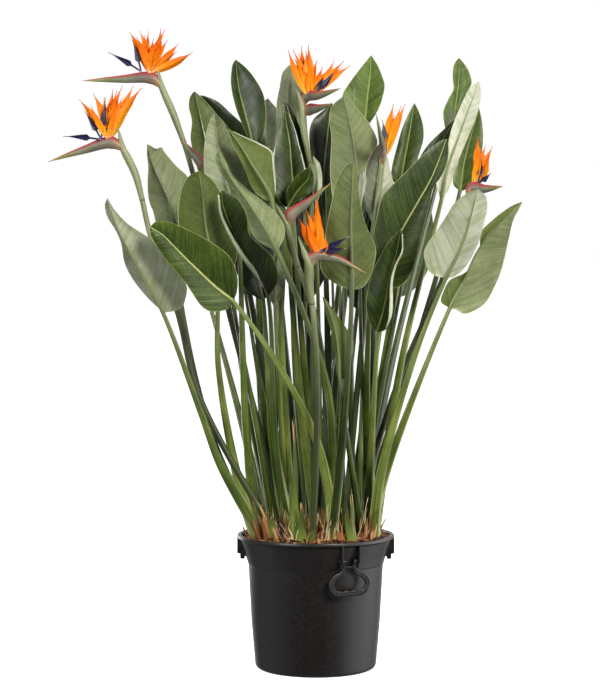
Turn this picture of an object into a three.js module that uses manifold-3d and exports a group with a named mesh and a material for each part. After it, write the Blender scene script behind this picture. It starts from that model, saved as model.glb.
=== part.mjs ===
// A bird of paradise plant in a black nursery pot with two swinging hand grips.
// Millimetres, +Z up. The origin is the middle of the pot's flat underside.
import * as THREE from 'three';
import { mergeVertices } from 'three/addons/utils/BufferGeometryUtils.js';
import Module from 'manifold-3d';

const wasm = await Module();
wasm.setup();

// Driving dimensions of the pot
const POT_HEIGHT = 309;
const RIM_RADIUS = 181;
const RIM_INNER = 172;
const RIM_DEEP = 7;
const RIM_ROUND = 2;
const BASE_RADIUS = 140;
const FOOT_ROUND = 14;
const WALL = 3;
const FLOOR_THICK = 4;
const TURN_SEGMENTS = 28;
const SOIL_TOP = 303;
const CLEARANCE = 0.3;
const DRAIN_HOLES = 6;
const DRAIN_RADIUS = 7;
const DRAIN_CIRCLE = 105;

// Driving dimensions of a hand grip and the two ears that carry it. Azimuths are in degrees from the
// front. Two of the four places have their ears, without pin holes, but no grip.
const GRIP_AZIMUTHS = { front: 26, back: 206 };
const BARE_EAR_AZIMUTHS = [96, 263];
const PIVOT_RADIUS = 168.5;
const PIVOT_HEIGHT = 266;
const GRIP_THICK = 7;
const GRIP_WIDTH = 104;
const GRIP_DROP = 78;
const GRIP_WIDEST = 50;
const NECK_WIDTH = 35;
const NECK_DROP = 18;
const BRIDGE_DROP = 10;
const BRIDGE = 5;
const BAR = 12;
const LEG = 7;
const LEG_ABOVE = 4;
const FINGER_BUMPS = [[-25, 0], [-17, 3], [-5, 0.5], [9, 3], [21, 0]];
const PIN_RADIUS = 2.6;
const PIN_PLAY = 0.5;
const PIN_HEAD = 4.2;
const EAR_THICK = 3;
const EAR_INNER = 20;
const EAR_OUTER_RADIUS = 180;
const EAR_BOTTOM = 263;
const EAR_LOBE_BOTTOM = 251;
const EAR_LOBE_ROUND = 3;
const EAR_LOBE_OUT = 4.5;
const EAR_LOBE_IN = 6;
const EAR_TOP = 305;
const EAR_SLOPE = 10;

// Driving dimensions of the plant
const BLADE_THICK = 1.2;
const BLADE_FOOT = 0.5;
const RIB_DEEP = 4;
const STALK_FOOT = 11.5;
const STALK_TOP = 5.6;
const STALK_FLAT = 0.85;
const SCAPE_FOOT = 8;
const SCAPE_TOP = 6;
const SPATHE_DEEP = 15;
const SPATHE_FLAT = 0.62;
const SHEATH_WIDE = 7;
const SHEATH_DEEP = 9;
const SEPAL_WIDTH = 19;
const SEPAL_FOOT = 1.5;
const SEPAL_SPREAD = 22;
const TONGUE_NARROW = 2.6;
const TONGUE_BARB = 13;
const TONGUES_BEFORE = 6;
const PETAL_THICK = 1.5;
const PETAL_TIP = 0.7;
const HEART_RADIUS = 8;
const THROAT_RADIUS = 5;
const STALK_SPREAD = 11;
const STUB_DEPTH = 42;
const STUB_SIDES = 6;
const STUB_ABOVE = 6;
const STALK_START = SOIL_TOP + 5;
const FAN_STUB_RADIUS = 24;
const SCAPE_STUB_RADIUS = 9;
const HUSK_STUB_RADIUS = 8;

// Places on the plant are measured as across and up from a mark beside the pot's axis, in the upright
// plane through that axis, as an eye EYE_AWAY in front of the plane sees them, with the depth behind (+)
// or before (-) the plane.
const MARK_X = -2.3;
const MARK_Z = 13.5;
const EYE_ACROSS = -34;
const EYE_AWAY = 4600;
const EYE_UP = 900;

const DEGREE = Math.PI / 180;

function seen([across, up, depth]) {
  const spread = 1 + depth / EYE_AWAY;
  const x = MARK_X + EYE_ACROSS + (across - EYE_ACROSS) * spread;
  const z = MARK_Z + EYE_UP + (up - EYE_UP) * spread;
  return new THREE.Vector3(x, depth, z);
}

// Solids and booleans
function solid(geometry) {
  const bare = geometry.clone();
  bare.deleteAttribute('normal');
  bare.deleteAttribute('uv');
  const merged = mergeVertices(bare, 1e-4);
  return new wasm.Manifold(new wasm.Mesh({
    numProp: 3,
    vertProperties: new Float32Array(merged.attributes.position.array),
    triVerts: new Uint32Array(merged.index.array),
  }));
}

function fuse(parts) {
  return parts.reduce((all, part) => all.add(part));
}

// The one body that is left when sealed hollows are filled and loose scraps are dropped
function largest(shape) {
  const pieces = shape.decompose();
  return pieces.reduce((best, piece) => (piece.volume() > best.volume() ? piece : best));
}

function geometryOf(shape) {
  const { vertProperties, triVerts } = shape.getMesh();
  const geometry = new THREE.BufferGeometry();
  geometry.setAttribute('position', new THREE.BufferAttribute(new Float32Array(vertProperties), 3));
  geometry.setIndex(new THREE.BufferAttribute(new Uint32Array(triVerts), 1));
  const flat = geometry.toNonIndexed();
  flat.computeVertexNormals();
  return flat;
}

// A round limb along a path: a cylinder whose rings are moved onto the path.
// side gives the direction of the section's first radius, radii(t) both radii.
function limb(path, side, radii, rings, sides) {
  const geometry = new THREE.CylinderGeometry(1, 1, 1, sides, rings);
  const place = geometry.attributes.position;
  const point = new THREE.Vector3();
  for (let i = 0; i < place.count; i += 1) {
    point.fromBufferAttribute(place, i);
    const t = point.y + 0.5;
    const along = path.getTangentAt(t);
    const across = side.clone().addScaledVector(along, -side.dot(along)).normalize();
    const out = across.clone().cross(along);
    const [wide, deep] = radii(t);
    const moved = path.getPointAt(t).addScaledVector(across, point.x * wide);
    moved.addScaledVector(out, point.z * deep);
    place.setXYZ(i, moved.x, moved.y, moved.z);
  }
  return solid(geometry);
}

// A thin blade: a grid of points from place(v, t), v from -1 to 1 across and t from 0 to 1 along,
// made thick behind its face and closed round its edge, both faces split into triangles alike
function blade(columns, rows, face, place, thick) {
  const points = [];
  for (const behind of [0, 1]) {
    for (let r = 0; r <= rows; r += 1) {
      for (let c = 0; c <= columns; c += 1) {
        const v = (2 * c) / columns - 1;
        const t = r / rows;
        const p = place(v, t).addScaledVector(face, -behind * thick(v, t));
        points.push(p.x, p.y, p.z);
      }
    }
  }
  const wide = columns + 1;
  const under = wide * (rows + 1);
  const faces = [];
  for (let r = 0; r < rows; r += 1) {
    for (let c = 0; c < columns; c += 1) {
      const a = r * wide + c;
      const b = a + 1;
      const d = a + wide;
      const e = d + 1;
      faces.push(a, b, e, a, e, d);
      faces.push(under + a, under + e, under + b, under + a, under + d, under + e);
    }
  }
  const edge = [];
  for (let c = 0; c < columns; c += 1) edge.push(c);
  for (let r = 0; r < rows; r += 1) edge.push(r * wide + columns);
  for (let c = columns; c > 0; c -= 1) edge.push(rows * wide + c);
  for (let r = rows; r > 0; r -= 1) edge.push(r * wide);
  edge.forEach((a, i) => {
    const b = edge[(i + 1) % edge.length];
    faces.push(a, under + a, b, b, under + a, under + b);
  });
  const geometry = new THREE.BufferGeometry();
  geometry.setAttribute('position', new THREE.Float32BufferAttribute(points, 3));
  geometry.setIndex(faces);
  return solid(geometry);
}

// Materials
const colour = (hex, roughness) => new THREE.MeshStandardMaterial({ color: hex, roughness, metalness: 0 });
const POT_PLASTIC = colour(0x232223, 0.42);
const GRIP_PLASTIC = colour(0x1d1d1e, 0.45);
const POTTING_BARK = colour(0x4a2e20, 0.95);
const LEAF_GREEN = colour(0x55683c, 0.5);
const SCAPE_GREEN = colour(0x6f7f52, 0.5);
const SEPAL_ORANGE = colour(0xff7a08, 0.45);
const PETAL_BLUE = colour(0x231d52, 0.45);
const DRY_HUSK = colour(0x9a6a3c, 0.85);

// What a leaf has where its row gives nothing else. turn is how far its upper side is turned from
// facing the eye, about the blade's own length. sweep bends its midrib sideways, arch and curl towards
// and from its upper side. via are points on its stalk, from the foot up.
const LEAF = {
  turn: 0, fold: 14, arch: 10, sweep: 0, point: 0.62, lobe: 8, wave: 2, curl: 0, girth: 1, via: [],
};

// The leaves grow in fans. Each fan stands at its foot, given as x and y.
const FANS = {
  left_front: {
    foot: [-118, -45],
    leaves: [
      { tip: [-475, 1068, -300], neck: [-345, 800, -200], width: 108, turn: 155, curl: 12, sweep: -8,
        via: [[-215, 450, -95], [-260, 570, -125]] },
      { tip: [-265, 1132, -150], neck: [-222, 890, -100], width: 95, turn: 170,
        via: [[-172, 400, -35], [-222, 680, -60]] },
    ],
  },
  left_middle: {
    foot: [-126, 9],
    leaves: [
      { tip: [-378, 1192, -15], neck: [-318, 930, -10], width: 138, turn: 165, fold: 32,
        via: [[-212, 450, 0], [-272, 640, 0]] },
      { tip: [-230, 1260, -45], neck: [-178, 1010, -40], width: 100, turn: 170, via: [[-160, 570, -20]] },
    ],
  },
  left_back: {
    foot: [-100, 66],
    leaves: [
      { tip: [-268, 1313, 150], neck: [-225, 1075, 120], width: 118, turn: -20, via: [[-160, 640, 90]] },
      { tip: [-181, 1385, 130], neck: [-140, 1165, 95], width: 92, turn: 45, via: [[-120, 640, 75]] },
      { tip: [-138, 1162, 60], neck: [-80, 1045, 45], width: 74, turn: 10, fold: 24, via: [[-92, 580, 95]] },
      { tip: [-330, 1120, 330], neck: [-255, 870, 260], width: 118, turn: 10, via: [[-160, 520, 150]] },
    ],
  },
  centre_left: {
    foot: [-58, -22],
    leaves: [
      { tip: [-213, 1087, -150], neck: [-107, 845, -110], width: 100, turn: 55, fold: 30, via: [[-88, 480, -50]] },
      { tip: [-85, 960, -70], neck: [-90, 820, -70], width: 50, turn: 180, girth: 0.8, via: [[-75, 500, -35]] },
      { tip: [-195, 1225, -85], neck: [-95, 1060, -50], width: 98, turn: 20, via: [[-70, 600, -20]] },
    ],
  },
  centre_front: {
    foot: [35, -105],
    leaves: [
      { tip: [-377, 1005, -300], neck: [-187, 835, -215], width: 125, turn: 15,
        via: [[8, 500, -140], [-100, 710, -190]] },
      { tip: [-220, 1178, -250], neck: [-88, 950, -200], width: 100, turn: 127, curl: 10,
        via: [[35, 600, -140], [-20, 790, -170]] },
      { tip: [88, 1150, -250], neck: [88, 860, -190], width: 118, turn: 180, via: [[65, 520, -130]] },
    ],
  },
  centre: {
    foot: [15, 25],
    leaves: [
      { tip: [-68, 1268, 15], neck: [-50, 1040, 0], width: 85, turn: 15, via: [[-20, 640, -8]] },
      { tip: [65, 1300, -45], neck: [85, 1000, -50], width: 112, turn: 175, via: [[45, 600, -5]] },
      { tip: [38, 1285, 75], neck: [20, 1110, 50], width: 76, turn: 0, via: [[30, 640, 50]] },
      { tip: [-12, 1140, -52], neck: [-62, 1050, -15], width: 62, turn: -20, fold: 24, via: [[-32, 600, -18]] },
    ],
  },
  right_front: {
    foot: [119, -44],
    leaves: [
      { tip: [370, 1090, -250], neck: [300, 880, -190], width: 115, turn: 175,
        via: [[150, 420, -85], [235, 720, -150]] },
      { tip: [478, 1065, -150], neck: [315, 822, -110], width: 112, turn: 170, via: [[175, 470, -75]] },
      { tip: [15, 850, -170], neck: [62, 650, -140], width: 70, turn: 30, girth: 0.8, via: [[85, 450, -95]] },
    ],
  },
  right_middle: {
    foot: [128, 9],
    leaves: [
      { tip: [300, 1205, -80], neck: [130, 880, -100], width: 112, turn: 10, via: [[120, 560, -45]] },
      { tip: [380, 1335, 0], neck: [290, 1060, -20], width: 104, turn: 128, via: [[205, 720, -10]] },
      { tip: [198, 998, -160], neck: [143, 762, -130], width: 105, turn: -50, fold: 24, via: [[130, 500, -60]] },
    ],
  },
  right_back: {
    foot: [88, 78],
    leaves: [
      { tip: [328, 1390, 130], neck: [308, 1200, 110], width: 66, turn: 160, via: [[180, 700, 90]] },
      { tip: [375, 1275, 190], neck: [318, 1080, 160], width: 80, turn: 15, via: [[200, 620, 130]] },
      { tip: [320, 1248, 60], neck: [215, 1040, 40], width: 84, turn: 15, via: [[150, 640, 45]] },
      { tip: [228, 1287, 80], neck: [195, 1090, 60], width: 68, turn: 20, via: [[130, 640, 70]] },
      { tip: [250, 1090, 330], neck: [190, 840, 260], width: 120, turn: 5, via: [[130, 520, 170]] },
    ],
  },
  back: {
    foot: [-20, 112],
    leaves: [
      { tip: [-57, 1372, 90], neck: [-55, 1190, 60], width: 62, turn: 160, via: [[-45, 700, 95]] },
      { tip: [-110, 1297, 190], neck: [-105, 1140, 170], width: 60, turn: 180, via: [[-60, 640, 130]] },
      { tip: [128, 1395, 180], neck: [112, 1225, 110], width: 92, turn: 10, via: [[50, 700, 120]] },
      { tip: [-130, 1120, 350], neck: [-95, 880, 280], width: 120, turn: 0, via: [[-60, 520, 190]] },
      { tip: [80, 1180, 360], neck: [60, 930, 280], width: 118, turn: -10, via: [[20, 540, 190]] },
    ],
  },
};

// The blooms. scape are points on the flower stalk with their depth; the other points lie at the
// bloom's own depth: the spathe's line from neck to tip, the sheath's tip, and the sepals' and tongues'
// tips, which rise from the heart and from the throat in front of it.
const BLOOMS = {
  a: {
    foot: [-60, 25], depth: 60,
    scape: [[-170, 700, 45], [-281, 1130, 58], [-300, 1195, 60], [-330, 1275, 60]],
    spathe: [[-352, 1322], [-378, 1346], [-440, 1344], [-533, 1337]],
    sheath: [-364, 1380], heart: [-380, 1370], throat: [-398, 1366],
    sepals: [[-425, 1448], [-401, 1450], [-381, 1450], [-352, 1458], [-343, 1455], [-312, 1422], [-280, 1402]],
    tongues: [[-418, 1430], [-473, 1402]],
  },
  b: {
    foot: [-75, -78], depth: -90,
    scape: [[-265, 610, -85], [-315, 805, -90], [-378, 985, -90], [-400, 1080, -90], [-425, 1160, -90]],
    spathe: [[-441, 1182], [-470, 1200], [-530, 1183], [-612, 1152]],
    sheath: [-453, 1236], heart: [-474, 1217], throat: [-490, 1211],
    sepals: [[-541, 1295], [-508, 1308], [-463, 1318], [-453, 1315], [-441, 1326], [-415, 1326], [-396, 1322]],
    tongues: [[-528, 1268], [-577, 1210], [-480, 1300]],
  },
  c: {
    foot: [-15, 65], depth: 20,
    scape: [[-15, 640, 30], [-10, 1130, 30], [-20, 1190, 24], [-25, 1220, 20]],
    spathe: [[-30, 1280], [-22, 1300], [10, 1304, -40], [60, 1320, -100]],
    more: [[[-28, 1262], [-15, 1270, -5], [10, 1275, -50], [38, 1285, -100]]],
    sheath: [-45, 1332], heart: [-12, 1314, -10], throat: [2, 1315, -24],
    sepals: [[-62, 1408], [-50, 1408], [-31, 1418], [-14, 1420], [5, 1385], [45, 1385], [66, 1382], [82, 1372]],
    tongues: [[20, 1350], [50, 1365]],
  },
  d: {
    foot: [-10, -125], depth: -240,
    scape: [[4, 500, -172], [4, 700, -207], [-8, 850, -226], [-12, 880, -232]],
    spathe: [[-12, 912], [0, 935], [50, 930], [117, 897]],
    sheath: [-38, 980], heart: [8, 951], throat: [20, 944],
    sepals: [[-36, 1022], [-20, 1042], [1, 1065], [8, 1072], [25, 980]],
    tongues: [[58, 970], [82, 982]],
  },
  e: {
    foot: [60, -30], depth: -60,
    scape: [[105, 700, -45], [130, 960, -55], [143, 1060, -60], [150, 1100, -60]],
    spathe: [[155, 1150], [156, 1180, -10], [150, 1215, -60], [140, 1265, -110]],
    heart: [164, 1184, -6], throat: [160, 1194, -4],
    sepals: [[180, 1285], [198, 1280], [207, 1285]],
    tongues: [[155, 1248]],
  },
  f: {
    foot: [75, 30], depth: -60,
    scape: [[190, 640, 45], [300, 900, 15], [342, 1040, -45]],
    spathe: [[352, 1078], [362, 1092], [390, 1090, -20], [432, 1096, -60]],
    heart: [366, 1112], throat: [374, 1110],
    sepals: [[372, 1212], [392, 1190], [408, 1188], [400, 1160]],
    tongues: [[383, 1165], [405, 1127]],
  },
  g: {
    foot: [0, -70], depth: -150,
    scape: [[25, 600, -75], [0, 800, -95], [-45, 930, -130], [-60, 980, -150]],
    spathe: [[-64, 1005], [-55, 1030], [-15, 1060], [35, 1102]],
    sheath: [-90, 1057],
  },
  h: {
    foot: [-45, 68], depth: 45,
    scape: [[-100, 580, 40], [-200, 1060, 45], [-238, 1125, 45]],
    spathe: [[-250, 1138], [-262, 1152], [-282, 1174], [-305, 1203]],
  },
};

// Dry and cut leaf bases that stand by themselves: foot, top, and half the width and depth at the foot
const HUSKS = {
  rust: { foot: [-108, -88], top: [-122, 392, -104], wide: 12, deep: 4 },
  cut: { foot: [-50, -112], top: [-50, 612, -125], wide: 14, deep: 7 },
  torn: { foot: [-24, -98], top: [-27, 385, -95], wide: 10, deep: 5 },
  tan: { foot: [64, -124], top: [52, 345, -128], wide: 9, deep: 3 },
};

// The pot: a turned shell, with drain holes near its edge and ears for the grips under its rim
const OUTSIDE = [
  [BASE_RADIUS - FOOT_ROUND, 0], [BASE_RADIUS - 4, 3], [BASE_RADIUS, 12], [148.5, 112], [155.5, 242],
  [157.5, 246], [164, 270], [170.5, 290], [173, 298], [177, 301],
];

function turned(profile) {
  const points = profile.map(([r, z]) => new THREE.Vector2(r, z));
  return solid(new THREE.LatheGeometry(points, TURN_SEGMENTS).rotateX(Math.PI / 2));
}

function wallRadius(z) {
  const [lastRadius, lastHeight] = OUTSIDE.at(-1);
  if (z > lastHeight) return lastRadius;
  const above = OUTSIDE.findIndex(([, height]) => height >= z);
  const [r0, z0] = OUTSIDE[above - 1];
  const [r1, z1] = OUTSIDE[above];
  return r0 + ((r1 - r0) * (z - z0)) / (z1 - z0);
}

// The wall's line from its foot up to a height, moved inward by inset, and no wider than the rim inside
function wallLine(inset, top) {
  const widest = RIM_INNER + WALL - inset;
  const below = OUTSIDE.slice(2).filter(([, z]) => z < top);
  return [...below, [wallRadius(top), top]].map(([r, z]) => [Math.min(r - inset, widest), z]);
}

function crossPin(radius, from, to, azimuth) {
  const geometry = new THREE.CylinderGeometry(radius, radius, to - from, 6);
  geometry.rotateZ(Math.PI / 2);
  geometry.translate((from + to) / 2, -PIVOT_RADIUS, PIVOT_HEIGHT);
  return solid(geometry.rotateZ(azimuth * DEGREE));
}

// An ear is a plate that stands out from the wall, with a lobe that hangs from it clear of the wall,
// drawn as distance from the pot's axis and height
function ear(azimuth, side) {
  const lobe = PIVOT_RADIUS + EAR_LOBE_OUT;
  const outline = new THREE.Shape([
    new THREE.Vector2(wallRadius(EAR_BOTTOM) - WALL / 2, EAR_BOTTOM),
    new THREE.Vector2(PIVOT_RADIUS - EAR_LOBE_IN, EAR_BOTTOM),
    new THREE.Vector2(PIVOT_RADIUS - EAR_LOBE_IN, EAR_LOBE_BOTTOM),
    new THREE.Vector2(lobe - EAR_LOBE_ROUND, EAR_LOBE_BOTTOM),
    new THREE.Vector2(lobe, EAR_LOBE_BOTTOM + EAR_LOBE_ROUND),
    new THREE.Vector2(lobe, EAR_BOTTOM),
    new THREE.Vector2(EAR_OUTER_RADIUS, EAR_BOTTOM),
    new THREE.Vector2(EAR_OUTER_RADIUS, EAR_TOP),
    new THREE.Vector2(wallRadius(EAR_TOP - EAR_SLOPE) - WALL / 2, EAR_TOP - EAR_SLOPE),
  ]);
  const plate = new THREE.ExtrudeGeometry(outline, { depth: EAR_THICK, bevelEnabled: false });
  plate.rotateX(Math.PI / 2);
  plate.rotateZ(-Math.PI / 2);
  plate.translate(side > 0 ? EAR_INNER + EAR_THICK : -EAR_INNER, 0, 0);
  return solid(plate.rotateZ(azimuth * DEGREE));
}

function makePot() {
  const shell = turned([
    [0, 0], ...OUTSIDE, [RIM_RADIUS, POT_HEIGHT - RIM_DEEP], [RIM_RADIUS, POT_HEIGHT - RIM_ROUND],
    [RIM_RADIUS - RIM_ROUND, POT_HEIGHT], [RIM_INNER, POT_HEIGHT], ...wallLine(WALL, SOIL_TOP).reverse(),
    [BASE_RADIUS - 2 * WALL, 2 * FLOOR_THICK], [BASE_RADIUS - FOOT_ROUND, FLOOR_THICK], [0, FLOOR_THICK],
  ]);
  const ears = [];
  const cuts = [];
  for (const side of [-1, 1]) {
    const middle = side * (EAR_INNER + EAR_THICK / 2);
    for (const azimuth of Object.values(GRIP_AZIMUTHS)) {
      ears.push(ear(azimuth, side));
      cuts.push(crossPin(PIN_RADIUS + PIN_PLAY, middle - EAR_THICK, middle + EAR_THICK, azimuth));
    }
    for (const azimuth of BARE_EAR_AZIMUTHS) ears.push(ear(azimuth, side));
  }
  for (let i = 0; i < DRAIN_HOLES; i += 1) {
    const hole = new THREE.CylinderGeometry(DRAIN_RADIUS, DRAIN_RADIUS, 4 * FLOOR_THICK, 8);
    hole.rotateX(Math.PI / 2).translate(DRAIN_CIRCLE, 0, 0);
    cuts.push(solid(hole.rotateZ(((i + 0.5) * 2 * Math.PI) / DRAIN_HOLES)));
  }
  return fuse([shell, ...ears]).subtract(fuse(cuts));
}

// A grip: a flat loop for four fingers below a narrow neck, whose two legs end in pins that snap
// into the ears. It hangs straight down from its pivot.
function gripOutline() {
  const neck = NECK_WIDTH / 2;
  const half = GRIP_WIDTH / 2;
  const inner = half - BAR;
  const slot = neck - LEG;
  const low = BAR - GRIP_DROP;
  const shape = new THREE.Shape();
  shape.moveTo(neck, LEG_ABOVE);
  shape.lineTo(neck, -NECK_DROP);
  shape.bezierCurveTo(neck + 14, -NECK_DROP - 3, half, -NECK_DROP - 12, half, -GRIP_WIDEST);
  shape.bezierCurveTo(half, -GRIP_WIDEST - 12, half - 10, -GRIP_DROP, half - 29, -GRIP_DROP);
  shape.lineTo(29 - half, -GRIP_DROP);
  shape.bezierCurveTo(10 - half, -GRIP_DROP, -half, -GRIP_WIDEST - 12, -half, -GRIP_WIDEST);
  shape.bezierCurveTo(-half, -NECK_DROP - 12, -neck - 14, -NECK_DROP - 3, -neck, -NECK_DROP);
  shape.lineTo(-neck, LEG_ABOVE);
  shape.lineTo(-slot, LEG_ABOVE);
  shape.lineTo(-slot, -BRIDGE_DROP);
  shape.lineTo(slot, -BRIDGE_DROP);
  shape.lineTo(slot, LEG_ABOVE);
  const hole = new THREE.Path();
  hole.moveTo(slot, -BRIDGE_DROP - BRIDGE);
  hole.lineTo(-slot, -BRIDGE_DROP - BRIDGE);
  hole.lineTo(-slot, -NECK_DROP - 10);
  hole.bezierCurveTo(-neck - 15, -NECK_DROP - 15, -inner, 13 - GRIP_WIDEST, -inner, -GRIP_WIDEST);
  hole.bezierCurveTo(-inner, -GRIP_WIDEST - 11, 3 - inner, low, 14 - inner, low);
  for (const [x, rise] of FINGER_BUMPS) hole.lineTo(x, low + rise);
  hole.lineTo(inner - 14, low);
  hole.bezierCurveTo(inner - 3, low, inner, -GRIP_WIDEST - 11, inner, -GRIP_WIDEST);
  hole.bezierCurveTo(inner, 13 - GRIP_WIDEST, neck + 15, -NECK_DROP - 15, slot, -NECK_DROP - 10);
  hole.closePath();
  shape.holes.push(hole);
  return shape;
}

function makeGrip(azimuth) {
  const plate = new THREE.ExtrudeGeometry(gripOutline(), {
    depth: GRIP_THICK, bevelEnabled: false, curveSegments: 4,
  });
  plate.translate(0, 0, -GRIP_THICK / 2);
  plate.rotateX(Math.PI / 2);
  plate.translate(0, -PIVOT_RADIUS, PIVOT_HEIGHT);
  const parts = [solid(plate.rotateZ(azimuth * DEGREE))];
  const reach = EAR_INNER + EAR_THICK;
  for (const side of [-1, 1]) {
    const pin = (radius, from, to) => {
      const ends = [side * from, side * to].sort((a, b) => a - b);
      parts.push(crossPin(radius, ...ends, azimuth));
    };
    pin(PIN_RADIUS, NECK_WIDTH / 2 - 4, reach + 1.5);
    pin(PIN_HEAD, reach + 0.5, reach + 3);
  }
  return fuse(parts);
}

// A leaf: a round stalk that rises from the fan's foot and runs on as the midrib of an arched blade
function leafFrame(row) {
  const neck = seen(row.neck);
  const tip = seen(row.tip);
  const along = tip.clone().sub(neck).normalize();
  const toEye = new THREE.Vector3(0, -1, 0).addScaledVector(along, along.y).normalize();
  const face = toEye.applyAxisAngle(along, row.turn * DEGREE);
  const across = along.clone().cross(face);
  return { neck, tip, along, face, across };
}

function midribAt(frame, row, t) {
  const bend = row.arch * 4 * t * (1 - t) - row.curl * t ** 5;
  const sideways = row.sweep * 4 * t * (1 - t);
  return frame.neck.clone().lerp(frame.tip, t)
    .addScaledVector(frame.face, bend)
    .addScaledVector(frame.across, sideways);
}

// Half the blade's width: widest at a third to a half of its length, with a rounded foot
function halfWidth(row, t) {
  const widest = BLADE_FOOT / (BLADE_FOOT + row.point);
  const shape = (at) => at ** BLADE_FOOT * (1 - at) ** row.point;
  return Math.max(((row.width / 2) * shape(0.03 + 0.97 * t)) / shape(widest), 0.8);
}

function bladeAt(frame, row, v, t) {
  const reach = Math.abs(v) * halfWidth(row, t);
  const rise = reach * Math.sin(row.fold * DEGREE) + row.wave * v * v * Math.sin(7 * t + 2 * v);
  const back = row.lobe * Math.abs(v) * (1 - t) ** 4;
  return midribAt(frame, row, t)
    .addScaledVector(frame.across, Math.sign(v) * reach * Math.cos(row.fold * DEGREE))
    .addScaledVector(frame.face, rise)
    .addScaledVector(frame.along, -back);
}

function makeLeaf(start, values) {
  const row = { ...LEAF, ...values };
  const frame = leafFrame(row);
  const low = new THREE.Vector3(...start, STALK_START);
  const end = midribAt(frame, row, 0.06).addScaledVector(frame.face, -RIB_DEEP);
  const path = new THREE.CatmullRomCurve3([low, ...row.via.map(seen), end]);
  const taper = (u) => {
    const radius = row.girth * (STALK_TOP + (STALK_FOOT - STALK_TOP) * (1 - u) ** 1.6);
    return [radius, radius * STALK_FLAT];
  };
  const thick = (v, t) => BLADE_THICK + (v === 0 ? RIB_DEEP * (1 - t) : 0);
  return [
    limb(path, frame.across, taper, 4, 5),
    blade(4, 4, frame.face, (v, t) => bladeAt(frame, row, v, t), thick),
  ];
}

// A stub stands in a plain hole in the soil: extra widens and deepens it to make that hole
function stub([x, y], radius, extra = 0) {
  const height = STUB_DEPTH + STUB_ABOVE + 2 * extra;
  const post = new THREE.CylinderGeometry(radius + extra, radius + extra, height, STUB_SIDES);
  post.rotateX(Math.PI / 2);
  return solid(post.translate(x, y, SOIL_TOP + STUB_ABOVE + extra - height / 2));
}

function makeFan({ foot, leaves }) {
  const parts = leaves.flatMap((row, i) => {
    const turn = (i / leaves.length) * 2 * Math.PI;
    const start = [foot[0] + STALK_SPREAD * Math.cos(turn), foot[1] + STALK_SPREAD * Math.sin(turn)];
    return makeLeaf(start, row);
  });
  return largest(fuse([stub(foot, FAN_STUB_RADIUS), ...parts]));
}

// A bloom: its flower stalk runs into a sheath and a beaked spathe that lies across the top
function spatheRadii(t) {
  const deep = Math.max(0.9, SPATHE_DEEP * (1 - t) ** 0.9 * Math.min(1, 0.45 + 2.6 * t));
  return [deep * SPATHE_FLAT, deep];
}

function placed(points, depth) {
  return points.map(([across, up, off = 0]) => seen([across, up, depth + off]));
}

function makeStalk(bloom, extra = 0) {
  const grown = (radii) => (t) => radii(t).map((radius) => radius + extra);
  const start = new THREE.Vector3(...bloom.foot, STALK_START);
  const neck = placed([bloom.spathe[0]], bloom.depth)[0];
  const scape = new THREE.CatmullRomCurve3([start, ...bloom.scape.map(seen), neck]);
  const side = new THREE.Vector3(0, 1, 0);
  const round = (t) => SCAPE_FOOT + (SCAPE_TOP - SCAPE_FOOT) * t;
  const parts = [
    stub(bloom.foot, SCAPE_STUB_RADIUS, extra),
    limb(scape, side, grown((t) => [round(t), round(t)]), 6, 5),
  ];
  for (const points of [bloom.spathe, ...(bloom.more ?? [])]) {
    parts.push(limb(new THREE.CatmullRomCurve3(placed(points, bloom.depth)), side, grown(spatheRadii), 5, 6));
  }
  if (bloom.sheath) {
    const ends = placed([bloom.spathe[0], bloom.sheath], bloom.depth);
    const sheath = (t) => [SHEATH_WIDE + (1 - SHEATH_WIDE) * t, SHEATH_DEEP + (1 - SHEATH_DEEP) * t];
    parts.push(limb(new THREE.LineCurve3(...ends), side, grown(sheath), 1, 5));
  }
  return largest(fuse(parts));
}

function knob(at, radius, depth) {
  const ball = new THREE.SphereGeometry(radius, 6, 4);
  const [middle] = placed([at], depth);
  return solid(ball.translate(middle.x, middle.y, middle.z));
}

// A petal or sepal is a flat spindle with a diamond section, bent a little to one side
function spindle(from, to, side, radii, bend, rings) {
  const middle = from.clone().lerp(to, 0.5).addScaledVector(side, bend);
  const path = new THREE.CatmullRomCurve3([from, middle, to]);
  return limb(path, side, radii, rings, 4);
}

function sepalRadii(t) {
  const width = SEPAL_FOOT + (SEPAL_WIDTH / 2 - SEPAL_FOOT) * Math.sin(Math.PI * t ** 0.75);
  return [Math.max(width * Math.min(1, 5 * (1 - t)), PETAL_TIP), t < 0.9 ? PETAL_THICK : PETAL_TIP];
}

// A tongue is narrow, then barbed like an arrow, and ends in a long point
function tongueRadii(t) {
  const width = t < 0.45 ? TONGUE_NARROW : 1 + TONGUE_BARB * (1 - t);
  return [width, t < 0.9 ? PETAL_THICK : PETAL_TIP];
}

function makeSepals(bloom) {
  const [from] = placed([bloom.heart], bloom.depth);
  const sepals = bloom.sepals.map((tip, i) => {
    const behind = (tip[2] ?? 0) + ((i % 3) - 1) * SEPAL_SPREAD;
    const [to] = placed([[tip[0], tip[1], behind]], bloom.depth);
    const side = new THREE.Vector3(1, i % 2 ? 0.5 : -0.5, 0.2).normalize();
    return spindle(from, to, side, sepalRadii, i % 2 ? 3 : -3, 3);
  });
  return fuse([knob(bloom.heart, HEART_RADIUS, bloom.depth), ...sepals]);
}

function makeTongues(bloom, extra = 0) {
  const depth = bloom.depth - TONGUES_BEFORE;
  const [from] = placed([bloom.throat], depth);
  const grown = (t) => tongueRadii(t).map((radius) => radius + extra);
  const tongues = bloom.tongues.map((tip) => {
    const [to] = placed([tip], depth);
    return spindle(from, to, new THREE.Vector3(0.3, 0.5, 1).normalize(), grown, 1.5, 4);
  });
  return fuse([knob(bloom.throat, THROAT_RADIUS + extra, depth), ...tongues]);
}

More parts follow.
